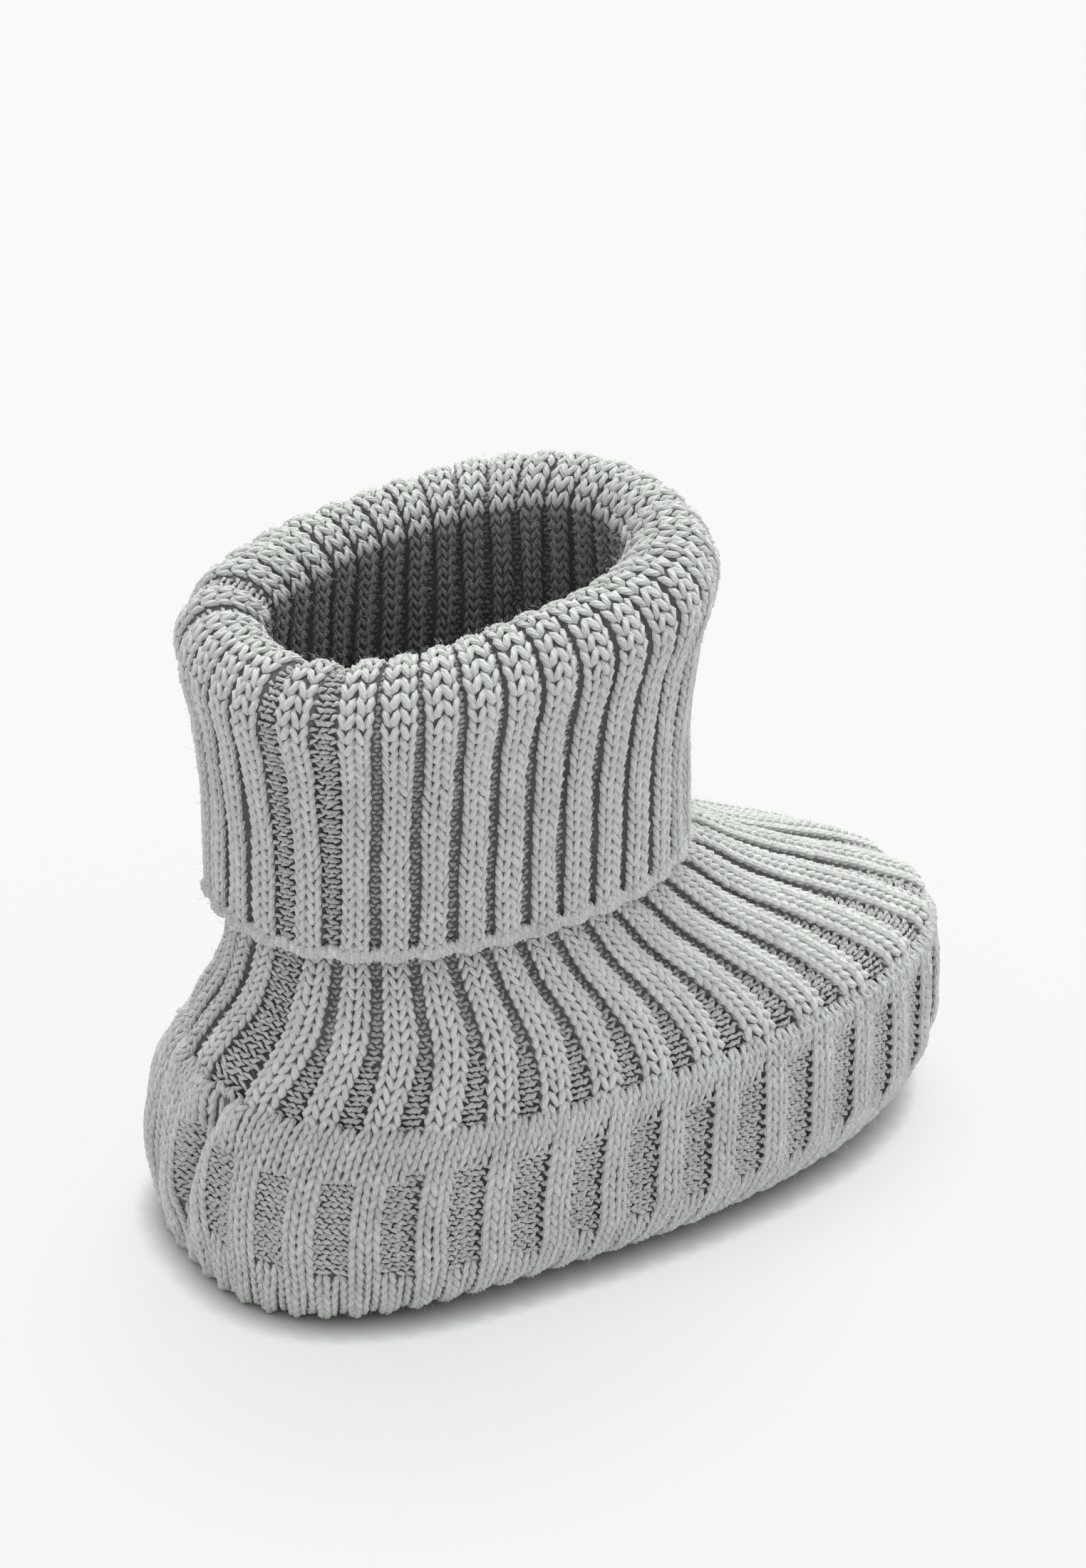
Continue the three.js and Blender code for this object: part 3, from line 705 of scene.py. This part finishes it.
def grain_tree():
    """Geometry Nodes: a short bent length of yarn on every point, turned and sized by the points."""
    found = bpy.data.node_groups.get("Yarn grains")
    if found:
        return found
    tree = bpy.data.node_groups.new("Yarn grains", "GeometryNodeTree")
    tree.is_modifier = True
    for label, kind, value in (
            ("Geometry", "Geometry", None), ("Bulge", "Float", 0.1), ("Dip", "Float", 0.35),
            ("End", "Float", 0.3), ("Uneven", "Float", 0.07), ("Sides", "Int", 5), ("Segments", "Int", 3),
            ("Seed", "Int", 1), ("Material", "Material", None)):
        socket = tree.interface.new_socket(label, in_out="INPUT", socket_type="NodeSocket" + kind)
        if value is not None:
            socket.default_value = value
    tree.interface.new_socket("Geometry", in_out="OUTPUT", socket_type="NodeSocketGeometry")
    n = Nodes(tree)
    given = n.add("NodeGroupInput").outputs

    def store(geometry, name, value, kind):
        return n.add("GeometryNodeStoreNamedAttribute", {"Geometry": geometry, "Name": name, "Value": value},
                     data_type=kind, domain="POINT").outputs[0]

    def named(name, kind):
        return n.add("GeometryNodeInputNamedAttribute", {"Name": name}, data_type=kind).outputs[0]

    def without(geometry, *names):
        for name in names:
            geometry = n.add("GeometryNodeRemoveAttribute", {"Geometry": geometry, "Name": name}).outputs[0]
        return geometry

    # A bent rail, thinner at its ends
    side, down = n.math("MULTIPLY", given["Bulge"], -0.5), n.math("MULTIPLY", given["Dip"], -1.0)
    rail = n.add("GeometryNodeCurveQuadraticBezier", {
        "Resolution": 12, "Start": n.xyz(side, -0.5, down), "End": n.xyz(side, 0.5, down),
        "Middle": n.xyz(given["Bulge"], 0.0, given["Dip"])}).outputs[0]
    stops = n.add("FunctionNodeIntegerMath", {0: given["Segments"], 1: 1}, operation="ADD").outputs[0]
    rail = n.add("GeometryNodeResampleCurve", {"Curve": rail, "Count": stops}).outputs[0]
    factor = n.add("GeometryNodeSplineParameter").outputs["Factor"]
    arch = n.math("SINE", n.math("MULTIPLY", factor, math.pi))
    taper = n.math("POWER", n.math("MAXIMUM", arch, 0.0), 0.6)
    radius = n.add("ShaderNodeMapRange", {"Value": taper, "To Min": given["End"], "To Max": 1.0}).outputs[0]
    rail = n.add("GeometryNodeSetCurveRadius", {"Curve": rail, "Radius": radius}).outputs[0]
    rail = store(rail, "reach", factor, "FLOAT")
    # A tube on it that knows its place round and along the yarn
    ring = n.add("GeometryNodeCurvePrimitiveCircle", {"Resolution": given["Sides"], "Radius": 0.5}).outputs[0]
    ring = store(ring, "ring", n.add("GeometryNodeInputPosition").outputs[0], "FLOAT_VECTOR")
    tube = n.add("GeometryNodeCurveToMesh", {"Curve": rail, "Profile Curve": ring, "Fill Caps": True})
    if "Scale" in tube.inputs:
        tree.links.new(radius, tube.inputs["Scale"])
    place = n.split(named("ring", "FLOAT_VECTOR"))
    tube = store(tube.outputs[0], "ply", n.xyz(place[0], place[1], named("reach", "FLOAT")), "FLOAT_VECTOR")
    tube = n.add("GeometryNodeSetShadeSmooth", {"Geometry": tube}).outputs[0]
    # The tube on every point
    low, high = n.math("SUBTRACT", 1.0, given["Uneven"]), n.math("ADD", 1.0, given["Uneven"])
    chance = n.add("FunctionNodeRandomValue", {
        0: n.xyz(low, low, low), 1: n.xyz(high, high, high), "Seed": given["Seed"]},
        data_type="FLOAT_VECTOR").outputs[0]
    scale = n.add("ShaderNodeVectorMath", {0: named("size", "FLOAT_VECTOR"), 1: chance},
                  operation="MULTIPLY").outputs[0]
    laid = n.add("GeometryNodeInstanceOnPoints", {
        "Points": given["Geometry"], "Instance": tube, "Rotation": named("turn", "QUATERNION"),
        "Scale": scale}).outputs[0]
    real = n.add("GeometryNodeRealizeInstances", {"Geometry": without(laid, "turn", "size")}).outputs[0]
    real = n.add("GeometryNodeSetMaterial", {
        "Geometry": without(real, "ring", "reach"), "Material": given["Material"]}).outputs[0]
    n.add("NodeGroupOutput", {"Geometry": real})
    return tree


class Stitches:
    """Collects where lengths of yarn lie, and then lays them in one go."""

    def __init__(self):
        self.parts = []

    def add(self, points, axes, normals, size, tones):
        """Adds lengths of yarn: their middles, directions, normals, three sizes and tones."""
        self.parts.append((points, axes, normals, np.stack(np.broadcast_arrays(*size), axis=1), tones))

    def lay(self, name, material, node, slot, **inputs):
        """Makes the piece with the grain tree and returns it as a plain mesh."""
        points, axes, normals, lengths, tones = (np.concatenate(part) for part in zip(*self.parts))
        y = unit(axes)
        x = unit(np.cross(y, normals))
        z = np.cross(x, y)
        turns = np.array([Matrix(m.tolist()).to_quaternion() for m in np.stack([x, y, z], axis=2)])
        mesh = bpy.data.meshes.new(name + "_points")
        mesh.from_pydata((points * MM).tolist(), [], [])
        for label, kind, key, values in (
                ("turn", "QUATERNION", "value", turns), ("size", "FLOAT_VECTOR", "vector", lengths * MM),
                ("tone", "FLOAT", "value", tones)):
            mesh.attributes.new(label, kind, "POINT").data.foreach_set(key, values.astype(np.float32).ravel())
        seeds = bpy.data.objects.new(name + "_points", mesh)
        bpy.context.scene.collection.objects.link(seeds)
        tree = grain_tree()
        modifier = seeds.modifiers.new("Yarn grains", "NODES")
        modifier.node_group = tree
        inputs["Material"] = material
        for item in tree.interface.items_tree:
            if item.item_type == "SOCKET" and item.in_out == "INPUT" and item.name in inputs:
                modifier[item.identifier] = inputs[item.name]
        graph = bpy.context.evaluated_depsgraph_get()
        laid = bpy.data.meshes.new_from_object(seeds.evaluated_get(graph))
        laid.name = name
        seeds.modifiers.remove(modifier)
        bpy.data.objects.remove(seeds)
        piece = bpy.data.objects.new(name, laid)
        bpy.context.scene.collection.objects.link(piece)
        if len(laid.polygons) == 0:
            raise RuntimeError(name + " came out empty")
        return finish_piece(piece, node)


def wobble(rng, count, scale):
    """A slow drift along a wale."""
    k = np.arange(count)
    a, b = rng.uniform(0, 2 * math.pi, 2)
    return scale * (0.6 * np.sin(k * 0.55 + a) + 0.4 * np.sin(k * 0.21 + b))


def leaning(along, around, lean):
    """Directions that lean out of the wale by an angle each."""
    return along * np.cos(lean)[:, None] + around * np.sin(lean)[:, None]


def rib_stitches(ribs, start, end, face, rng):
    """Four lines of stitch sides on every rib, between two rows of the upper."""
    surface, store = ribs.surface, Stitches()
    knit, s = bpy.context.scene.bootie_knit, sizes()
    raises = surface.out if face > 0 else surface.back
    for centre in ribs.centres:
        rows = surface.rows_along(centre, start, end, knit.row / MM)
        count = len(rows)
        drift = wobble(rng, count, 0.22)
        for line, across in enumerate((-0.75, -0.25, 0.25, 0.75)):
            stagger = rows + rng.normal(0, 0.06, count)
            half, spread = ribs.half_width(stagger, centre)
            offset = across * half + drift * 0.6 + rng.normal(0, 0.035, count)
            point, along, around, normal = surface.sample(stagger, centre + offset / spread)
            raised = np.interp(stagger, np.arange(len(raises)), raises)
            outer = abs(across) > 0.5
            height = s["knit"] / 2 + s["rib_raise"] * raised - (0.7 if outer else 0.36)
            height = height + rng.normal(0, 0.03, count)
            inward = 1.0 if line % 2 == 0 else -1.0
            axis = leaning(along, around, inward * (knit.leg_lean + rng.normal(0, 0.06, count)))
            roll = math.radians(34 if outer else -20) * (1 if across > 0 else -1)
            up = normal * face * math.cos(roll) + around * math.sin(roll)
            size = half / 2 * 1.04, knit.leg_length / MM, knit.leg_thickness / MM
            store.add(point + normal * face * height[:, None], axis * inward, up, size,
                      rng.normal(0, 0.035, count))
    return store


def rim_stitches(ribs, row, rng):
    """The cuff's turned edge: short lengths of yarn laid round a soft roll."""
    store, count = Stitches(), ribs.count * 5
    for place, degrees in enumerate(RIM_ANGLES):
        shares = (np.arange(count) + 0.5 * (place % 2)) / count + rng.normal(0, 0.0003, count)
        angle = math.radians(degrees) + rng.normal(0, 0.05, count)
        row_numbers = np.full(count, row)
        point, along, around, normal = ribs.surface.sample(row_numbers, shares)
        spread = ribs.surface.pick(ribs.surface.spread, row_numbers, shares)
        out = -normal
        over_rib = 0.5 - 0.5 * np.cos(2 * math.pi * ribs.count * shares)
        core = 0.35 + 0.75 * over_rib + rng.normal(0, 0.09, count)
        up = leaning(out, along, angle)
        lean = 0.35 * (1 if place % 2 else -1) + rng.normal(0, 0.15, count)
        axis = leaning(along, -out, angle) + around * lean[:, None]
        store.add(point + out * core[:, None] + up * 0.72, axis, up, (spread / count * 1.15, 1.3, 0.95),
                  rng.normal(0.02, 0.04, count))
    return store


def gap_stitches(ribs, start, end, face, rng):
    """Purl bumps on the floor of the gaps, one to four side by side."""
    surface, store = ribs.surface, Stitches()
    knit, s = bpy.context.scene.bootie_knit, sizes()
    thick, bump_room = knit.bump_thickness / MM, 1.12
    for k, groove in enumerate(ribs.grooves):
        rows = surface.rows_along(groove, start, end, knit.row / MM)
        if len(rows) < 3:
            continue
        for phase, bend in ((0.0, 1.0), (0.5, -1.0)):
            place = rows + phase * np.gradient(rows) + rng.normal(0, 0.08, len(rows))
            room = ribs.room(place, k) + 0.5
            spread = surface.pick(surface.spread, place, np.full(len(place), groove))
            for lanes in range(1, 5):
                fits = np.clip(np.round(room / bump_room), 1, 4) == lanes
                if not fits.any():
                    continue
                number, width, wide = place[fits], room[fits] / lanes, spread[fits]
                count = len(number)
                for lane in np.arange(lanes) - (lanes - 1) / 2:
                    shift = -0.5 * np.sign(lane) * (bend < 0)
                    offset = (lane + shift) * width + rng.normal(0, 0.06, count)
                    point, along, around, normal = surface.sample(number, groove + offset / wide)
                    shallow = ramp(width * lanes, 1.9, 1.5)
                    height = s["knit"] / 2 - GAP_SINK + 0.75 * shallow + rng.normal(0, 0.06, count)
                    axis = around + along * (0.3 * bend + rng.normal(0, 0.2, count))[:, None]
                    store.add(point + normal * face * height[:, None], axis * bend, normal * face,
                              (thick, width * 0.82 + 0.2, thick), rng.normal(0.01, 0.05, count))
    return store


# Operators


class BOOTIE_OT_upper_cloth(bpy.types.Operator):
    """Cloth of the foot, shaft, roll and cuff, with its ribs, as a closed wall"""

    bl_idname = "bootie.upper_cloth"
    bl_label = "Upper cloth"

    def execute(self, context):
        s, ribs = sizes(), Ribs()
        surface = ribs.surface
        numbers = np.arange(len(surface.path))
        # Cross section of a rib: place across it and height
        across, lifts = np.array([
            (-1.06, 0.05), (-0.95, 0.62), (-0.6, 1.0), (0.0, 1.0), (0.6, 1.0), (0.95, 0.62), (1.06, 0.05)]).T
        lift = np.tile(np.concatenate([[0.0], lifts]), ribs.count)
        flat = np.full(len(lift), s["knit"] / 2 - 0.15)
        outside, inside = [], []
        for row in np.linspace(0, len(numbers) - 1.002, 72):
            half, spread = ribs.half_width(np.full(ribs.count, row), ribs.centres)
            shares = ribs.centres[:, None] + across[None, :] * (half / spread)[:, None]
            shares = np.concatenate([ribs.grooves[:, None], shares], axis=1).ravel()
            point, _, _, normal = surface.sample(np.full(len(shares), row), shares)
            out, back = np.interp(row, numbers, surface.out), np.interp(row, numbers, surface.back)
            shows_out = row < surface.row_at(NECK)
            sunk = s["knit"] / 2 - GAP_SINK + (s["rib_raise"] * max(out, back) + 0.1) * lift
            outside.append(point + normal * (sunk if shows_out else flat)[:, None])
            inside.append(point - normal * (flat if shows_out and back < 0.5 else sunk)[:, None])
        piece = loft("upper_cloth", outside + inside[::-1], tube=True)
        # The cloth is dark with painted shade, standing for the shade between the ribs and under the stitches
        material = yarn_material("painted_shade_cloth", context.scene.bootie_knit.yarn_painted_shade, False)
        finish_piece(piece, "upper", material)
        return {"FINISHED"}


class BOOTIE_OT_cuff_stitches(bpy.types.Operator):
    """Ribbed stitches of the cuff, the roll and the inside of the shaft"""

    bl_idname = "bootie.cuff_stitches"
    bl_label = "Cuff stitches"

    def execute(self, context):
        knit = context.scene.bootie_knit
        rng = np.random.default_rng(knit.seed)
        ribs = Ribs()
        yarn = yarn_material("rib_yarn", knit.yarn, True)
        # A darker copy of the yarn, with painted shade, for the inside of the shaft and its gaps
        inner = yarn_material("painted_shade_inner_yarn", [c * knit.inside for c in knit.yarn], True)
        shaft, lip, roll, edge = map(ribs.surface.row_at, (NECK, LIP, ROLL, EDGE))
        for name, start, end, material, cut in (
                ("cuff_stitches", roll, edge - 1.0, yarn, {}), ("roll_stitches", lip, roll, yarn, {}),
                ("shaft_stitches", shaft, lip, inner, {"Sides": 4, "Segments": 2})):
            rib_stitches(ribs, start, end, -1, rng).lay(
                name, material, "upper", "rib_knit", **LEG, **cut, Uneven=knit.uneven, Seed=knit.seed)
        rim_stitches(ribs, edge - 1.6, rng).lay(
            "cuff_rim", yarn, "upper", "rib_knit", Bulge=0.15, Dip=0.3, End=0.4, Sides=4,
            Uneven=2 * knit.uneven, Seed=knit.seed + 2)
        for name, start, end, material in (
                ("cuff_gap_stitches", lip, edge - 1.0, yarn), ("shaft_gap_stitches", shaft, lip, inner)):
            gap_stitches(ribs, start, end, -1, rng).lay(
                name, material, "upper", "rib_knit", **BUMP, Uneven=knit.uneven, Seed=knit.seed + 1)
        return {"FINISHED"}


class BOOTIE_OT_foot_stitches(bpy.types.Operator):
    """Ribbed stitches of the foot"""

    bl_idname = "bootie.foot_stitches"
    bl_label = "Foot stitches"

    def execute(self, context):
        knit = context.scene.bootie_knit
        rng = np.random.default_rng(knit.seed + 2)
        ribs = Ribs()
        yarn = yarn_material("rib_yarn", knit.yarn, True)
        start, end = map(ribs.surface.row_at, (0.55, NECK))
        rib_stitches(ribs, start, end, 1, rng).lay(
            "foot_stitches", yarn, "upper", "rib_knit", **LEG, Uneven=knit.uneven, Seed=knit.seed)
        gap_stitches(ribs, start, end, 1, rng).lay(
            "foot_gap_stitches", yarn, "upper", "rib_knit", **BUMP, Uneven=knit.uneven, Seed=knit.seed + 1)
        return {"FINISHED"}


class BOOTIE_OT_band_cloth(bpy.types.Operator):
    """Cloth of the side band and the bottom, as a closed tray"""

    bl_idname = "bootie.band_cloth"
    bl_label = "Band cloth"

    def execute(self, context):
        s, surface = sizes(), band_surface()
        shape, knit = context.scene.bootie_shape, context.scene.bootie_knit
        columns = shape.ribs * 16
        shares = np.arange(columns) / columns
        window = ramp(np.abs(np.mod(shares * shape.ribs + 0.5, 1.0) - 0.5), 0.27, -0.07)
        rows = []
        for row in np.linspace(0, len(surface.path) - 1.002, 36):
            point, _, _, normal = surface.sample(np.full(columns, row), shares)
            z = point[:, 2]
            level = ramp(z, s["window_bottom"] - 0.4, 0.8) * ramp(z, s["window_top"] + 0.4, -0.8)
            outer = 1.0 if row < surface.row_at(BAND_CREST) else 0.0
            sunk = BAND_SINK + knit.window_sink / MM * window * level * outer
            rows.append(point - normal * sunk[:, None])
        hem = (s["band_height"] - s["hem_depth"], 0, 0.4)
        inner = [tray_points(s, *section, s["sole_wall"], shares) for section in [hem] + TRAY_INSIDE]

        def floor_rings(edge, height):
            """Rings from an edge to the middle of the bottom."""
            rings = []
            for scale in (0.9, 0.75, 0.6, 0.45, 0.3, 0.15, 0.04):
                ring = edge.copy()
                ring[:, :2] *= scale
                ring[:, 2] = height + spring(ring[:, 0] - outline_shift(), s)
                rings.append(ring)
            return rings

        under = floor_rings(rows[0], 0.55)[::-1]
        piece = loft("band_cloth", under + rows + inner + floor_rings(inner[-1], s["sole_wall"]))
        # The band's cloth and the tray's inside are dark with painted shade, standing for the shade under the
        # stitches
        finish_piece(piece, "sole", yarn_material("painted_shade_cloth", knit.yarn_painted_shade, False))
        piece.data.materials.append(yarn_material("bottom_knit", [c * 0.9 for c in knit.yarn], False, True))
        for face in piece.data.polygons:
            if face.center.z < 0.0045 and face.normal.z < -0.6:
                face.material_index = 1
        return {"FINISHED"}


class BOOTIE_OT_band_stitches(bpy.types.Operator):
    """Plain stitches of the side band, with its purl windows"""

    bl_idname = "bootie.band_stitches"
    bl_label = "Band stitches"

    def execute(self, context):
        knit = context.scene.bootie_knit
        rng = np.random.default_rng(knit.seed + 4)
        surface, wales = band_surface(), context.scene.bootie_shape.ribs * 4
        legs, purls = Stitches(), Stitches()
        for wale in range(wales):
            centre = (wale + 0.5) / wales
            rows = surface.rows_along(centre, 0.0, surface.row_at(BAND_TOP), knit.row / MM)
            in_window = self.in_window(surface, wale, centre, rows)
            self.add_legs(legs, surface, wale, wales, rows, ~in_window, rng)
            if in_window.any():
                self.add_purls(purls, surface, wale, wales, rows[in_window], rng)
        yarn = yarn_material("band_yarn", knit.yarn, True)
        legs.lay("band_stitches", yarn, "sole", "band_knit", **LEG, Sides=4, Uneven=knit.uneven,
                 Seed=knit.seed + 5)
        purls.lay("window_stitches", yarn, "sole", "band_knit", Bulge=0.4, Dip=0.25, End=0.5,
                  Sides=4, Segments=2, Uneven=knit.uneven, Seed=knit.seed + 6)
        return {"FINISHED"}

    @staticmethod
    def in_window(surface, wale, centre, rows):
        """Which stitches of a wale lie in a window."""
        s, z = sizes(), surface.sample(rows, np.full(len(rows), centre))[0][:, 2]
        beside_groove = wale % 4 in (0, 3)
        high = (z > s["window_bottom"]) & (z < s["window_top"]) & (rows < surface.row_at(BAND_CREST))
        return beside_groove & high

    @staticmethod
    def add_legs(store, surface, wale, wales, rows, plain, rng):
        """The two sides of each plain stitch of a wale."""
        knit, centre = bpy.context.scene.bootie_knit, (wale + 0.5) / wales
        z = surface.sample(rows, np.full(len(rows), centre))[0][:, 2]
        drift = wobble(rng, len(rows), 0.07)[plain]
        between = ((wale % 4 in (1, 2)) * ramp(z, 7.5, 3) * ramp(z, 23, -2))[plain]
        for side in (-1.0, 1.0):
            number = (rows + rng.normal(0, 0.06, len(rows)))[plain]
            count = len(number)
            spread = surface.pick(surface.spread, number, np.full(count, centre))
            pitch = spread / wales
            offset = side * pitch * 0.25 + (drift + rng.normal(0, 0.03, count))
            point, along, around, normal = surface.sample(number, centre + offset / spread)
            axis = leaning(along, around, -side * (knit.band_lean + rng.normal(0, 0.05, count)))
            height = -0.36 + 0.22 * between + rng.normal(0, 0.03, count)
            size = pitch * 0.49, knit.leg_length / MM * 1.02, knit.leg_thickness / MM
            store.add(point + normal * height[:, None], axis * -side, normal + around * (0.14 * side), size,
                      rng.normal(0, 0.035, count))

    @staticmethod
    def add_purls(store, surface, wale, wales, number, rng):
        """The purl bumps of a wale in its window."""
        knit, centre = bpy.context.scene.bootie_knit, (wale + 0.5) / wales
        thick, count = 1.15 * knit.bump_thickness / MM, len(number)
        step = (number[-1] - number[0]) / max(count - 1, 1)
        near_toe = min(centre, 1 - centre) < 0.37
        for phase, lane, bend in (
                (0.0, -0.25, 1.0), (0.0, 0.25, 1.0), (0.5, -0.5, -1.0), (0.5, 0.0, -1.0), (0.5, 0.5, -1.0)):
            place = number + step * phase + rng.normal(0, 0.05, count)
            spread = surface.pick(surface.spread, place, np.full(count, centre))
            pitch = spread / wales
            offset = lane * pitch + rng.normal(0, 0.06, count)
            point, along, around, normal = surface.sample(place, centre + offset / spread)
            height = (0.3 if near_toe else 0.0) - knit.window_sink / MM - 0.15 + rng.normal(0, 0.05, count)
            axis = around + along * (0.35 * bend + rng.normal(0, 0.15, count))[:, None]
            store.add(point + normal * height[:, None], axis * bend, normal, (thick, pitch * 0.52, thick),
                      rng.normal(0.04, 0.05, count))


class BOOTIE_OT_fuzz(bpy.types.Operator):
    """Fine loose fibres of the yarn"""

    bl_idname = "bootie.fuzz"
    bl_label = "Fuzz"

    def execute(self, context):
        s, ribs = sizes(), context.scene.bootie_shape.ribs
        knit = context.scene.bootie_knit
        rng = np.random.default_rng(knit.seed + 8)
        material = yarn_material("fibre", [min(c * 1.1, 1.0) for c in knit.yarn], False)
        crest = s["knit"] / 2 + s["rib_raise"] - 0.1
        # First and last station, face and number of fibres
        on_upper = ((1.2, NECK, 1, 800), (7.5, 10.0, -1, 1500), (10.0, EDGE, -1, 900), (15.7, 16.2, -1, 500))
        for name, surface, node, slot, places, height in (
                ("upper_fuzz", upper_surface(), "upper", "rib_knit", on_upper, crest),
                ("band_fuzz", band_surface(), "sole", "band_knit", ((0.5, BAND_CREST, 1, 900),), 0.0)):
            store = Stitches()
            for start, end, face, count in places:
                rows = rng.uniform(surface.row_at(start), surface.row_at(end), count)
                shares = (rng.integers(0, ribs, count) + 0.5 + rng.uniform(-0.36, 0.36, count)) / ribs
                point, along, around, normal = surface.sample(rows, shares)
                normal = normal * face
                lean = rng.normal(0, 0.9, (count, 2))
                axis = unit(normal + along * lean[:, :1] + around * lean[:, 1:])
                length = 0.3 + rng.gamma(2.0, 0.16, count)
                store.add(point + normal * height + axis * (length / 2)[:, None], axis,
                          normal + along * 0.3 + around * 0.2, (FIBRE_THICKNESS, length, FIBRE_THICKNESS),
                          rng.normal(0.05, 0.05, count))
            store.lay(name, material, node, slot, Bulge=9.0, Dip=0.0, End=0.25, Sides=3, Segments=2,
                      Uneven=0.2, Seed=knit.seed + 9)
        return {"FINISHED"}


class BOOTIE_OT_insole(bpy.types.Operator):
    """Soft insole on the tray's floor"""

    bl_idname = "bootie.insole"
    bl_label = "Insole"

    def execute(self, context):
        s = sizes()
        shares = np.arange(160) / 160
        rings = []
        for extra, height, scale in INSOLE_PROFILE:
            clear = s["sole_wall"] + 0.8 + extra
            ring = plan_points(inset(plan_curves(s)[0], *(
                s[turn] * 0.5 + clear for turn in ("turn_heel", "turn_sides", "turn_toe")), 0, 0), shares)
            ring[:, :2] *= scale
            ring[:, 2] = s["sole_wall"] + 0.45 + height * s["insole_thickness"] + spring(ring[:, 0], s)
            ring[:, 0] += outline_shift()
            rings.append(ring)
        piece = loft("insole_pad", rings)
        material = yarn_material("insole_cloth", context.scene.bootie_knit.insole, False)
        finish_piece(piece, "insole", material)
        return {"FINISHED"}


class BOOTIE_OT_stage(bpy.types.Operator):
    """Pale floor, soft light and the camera"""

    bl_idname = "bootie.stage"
    bl_label = "Stage"

    def execute(self, context):
        signs = ((-1, -1), (1, -1), (1, 1), (-1, 1))
        corners = [(x * FLOOR_REACH, y * FLOOR_REACH, FLOOR_HEIGHT) for x, y in signs]
        floor = new_mesh_object("studio_floor", corners, [[0, 1, 2, 3]], smooth=False)
        floor.data.materials.append(floor_material())
        self.room(context.scene)
        self.key_light(context.scene)
        self.camera(context.scene)
        context.scene.view_settings.view_transform = "Standard"
        return {"FINISHED"}

    @staticmethod
    def room(scene):
        """Walls that are brighter on one side, and even just above the floor."""
        world = bpy.data.worlds.new("studio")
        n = Nodes.of(world)
        direction = n.add("ShaderNodeTexCoord").outputs["Generated"]
        near_floor = n.add("ShaderNodeMapRange", {
            "Value": n.split(direction)[2], "From Min": 0.04, "From Max": 0.42, "To Min": 1.0, "To Max": 0.0})
        facing = n.add("ShaderNodeVectorMath", {0: direction, 1: BRIGHT_WALL}, operation="DOT_PRODUCT")
        walls = n.add("ShaderNodeMapRange", {
            "Value": facing.outputs["Value"], "From Min": -0.7, "From Max": 1.0,
            "To Min": 0.6 * scene.bootie_stage.room, "To Max": 1.55 * scene.bootie_stage.room})
        strength = n.add("ShaderNodeMix", {
            "Factor": near_floor.outputs[0], "A": walls.outputs[0], "B": 0.94}, data_type="FLOAT").outputs[0]
        background = n.add("ShaderNodeBackground", {"Color": (0.995, 1.0, 1.005, 1), "Strength": strength})
        n.add("ShaderNodeOutputWorld", {"Surface": background.outputs[0]})
        scene.world = world

    @staticmethod
    def key_light(scene):
        """A wide soft light from above."""
        light = bpy.data.lights.new("key_light", "SUN")
        light.energy = scene.bootie_stage.sun
        light.angle = math.radians(34)
        light.color = (1.0, 0.995, 0.985)
        key = bpy.data.objects.new("key_light", light)
        key.rotation_mode = "QUATERNION"
        key.rotation_quaternion = Vector(KEY_LIGHT_FROM).to_track_quat("Z", "Y")
        scene.collection.objects.link(key)

    @staticmethod
    def camera(scene):
        """The photo's camera."""
        azimuth, elevation = math.radians(CAMERA_TURN), math.radians(CAMERA_RISE)
        back = Vector((math.sin(azimuth) * math.cos(elevation), -math.cos(azimuth) * math.cos(elevation),
                       math.sin(elevation)))
        data = bpy.data.cameras.new("camera")
        data.sensor_fit = "AUTO"
        data.sensor_width = 36
        data.lens = CAMERA_FOCUS * data.sensor_width / PHOTO_HEIGHT
        data.clip_start, data.clip_end = 0.01, 50
        camera = bpy.data.objects.new("camera", data)
        camera.rotation_mode = "QUATERNION"
        camera.location = Vector(CAMERA_TARGET) * MM + back * CAMERA_DISTANCE * MM
        camera.rotation_quaternion = (-back).to_track_quat("-Z", "Y")
        scene.collection.objects.link(camera)
        scene.camera = camera


STEPS = (
    "upper_cloth", "cuff_stitches", "foot_stitches", "band_cloth", "band_stitches", "fuzz", "insole", "stage",
)
GROUPS = {"bootie_shape": BootieShape, "bootie_knit": BootieKnit, "bootie_stage": BootieStage}


class BOOTIE_PT_panel(bpy.types.Panel):
    """Sizes, colours and steps of the bootie"""

    bl_label = "Bootie"
    bl_idname = "BOOTIE_PT_panel"
    bl_space_type = "VIEW_3D"
    bl_region_type = "UI"
    bl_category = "Bootie"

    def draw(self, context):
        for group, kind in GROUPS.items():
            box = self.layout.box()
            for name in kind.__annotations__:
                box.prop(getattr(context.scene, group), name, text=name.replace("_", " ").capitalize())
        for step in STEPS:
            self.layout.operator("bootie." + step)


CLASSES = (
    *GROUPS.values(), BOOTIE_OT_upper_cloth, BOOTIE_OT_cuff_stitches, BOOTIE_OT_foot_stitches,
    BOOTIE_OT_band_cloth, BOOTIE_OT_band_stitches, BOOTIE_OT_fuzz, BOOTIE_OT_insole, BOOTIE_OT_stage,
    BOOTIE_PT_panel,
)


def register():
    for kind in CLASSES:
        bpy.utils.register_class(kind)
    for group, kind in GROUPS.items():
        setattr(bpy.types.Scene, group, bpy.props.PointerProperty(type=kind))


def unregister():
    for group in GROUPS:
        delattr(bpy.types.Scene, group)
    for kind in reversed(CLASSES):
        bpy.utils.unregister_class(kind)


def main():
    register()
    for step in STEPS:
        getattr(bpy.ops.bootie, step)()


if __name__ == "__main__":
    main()
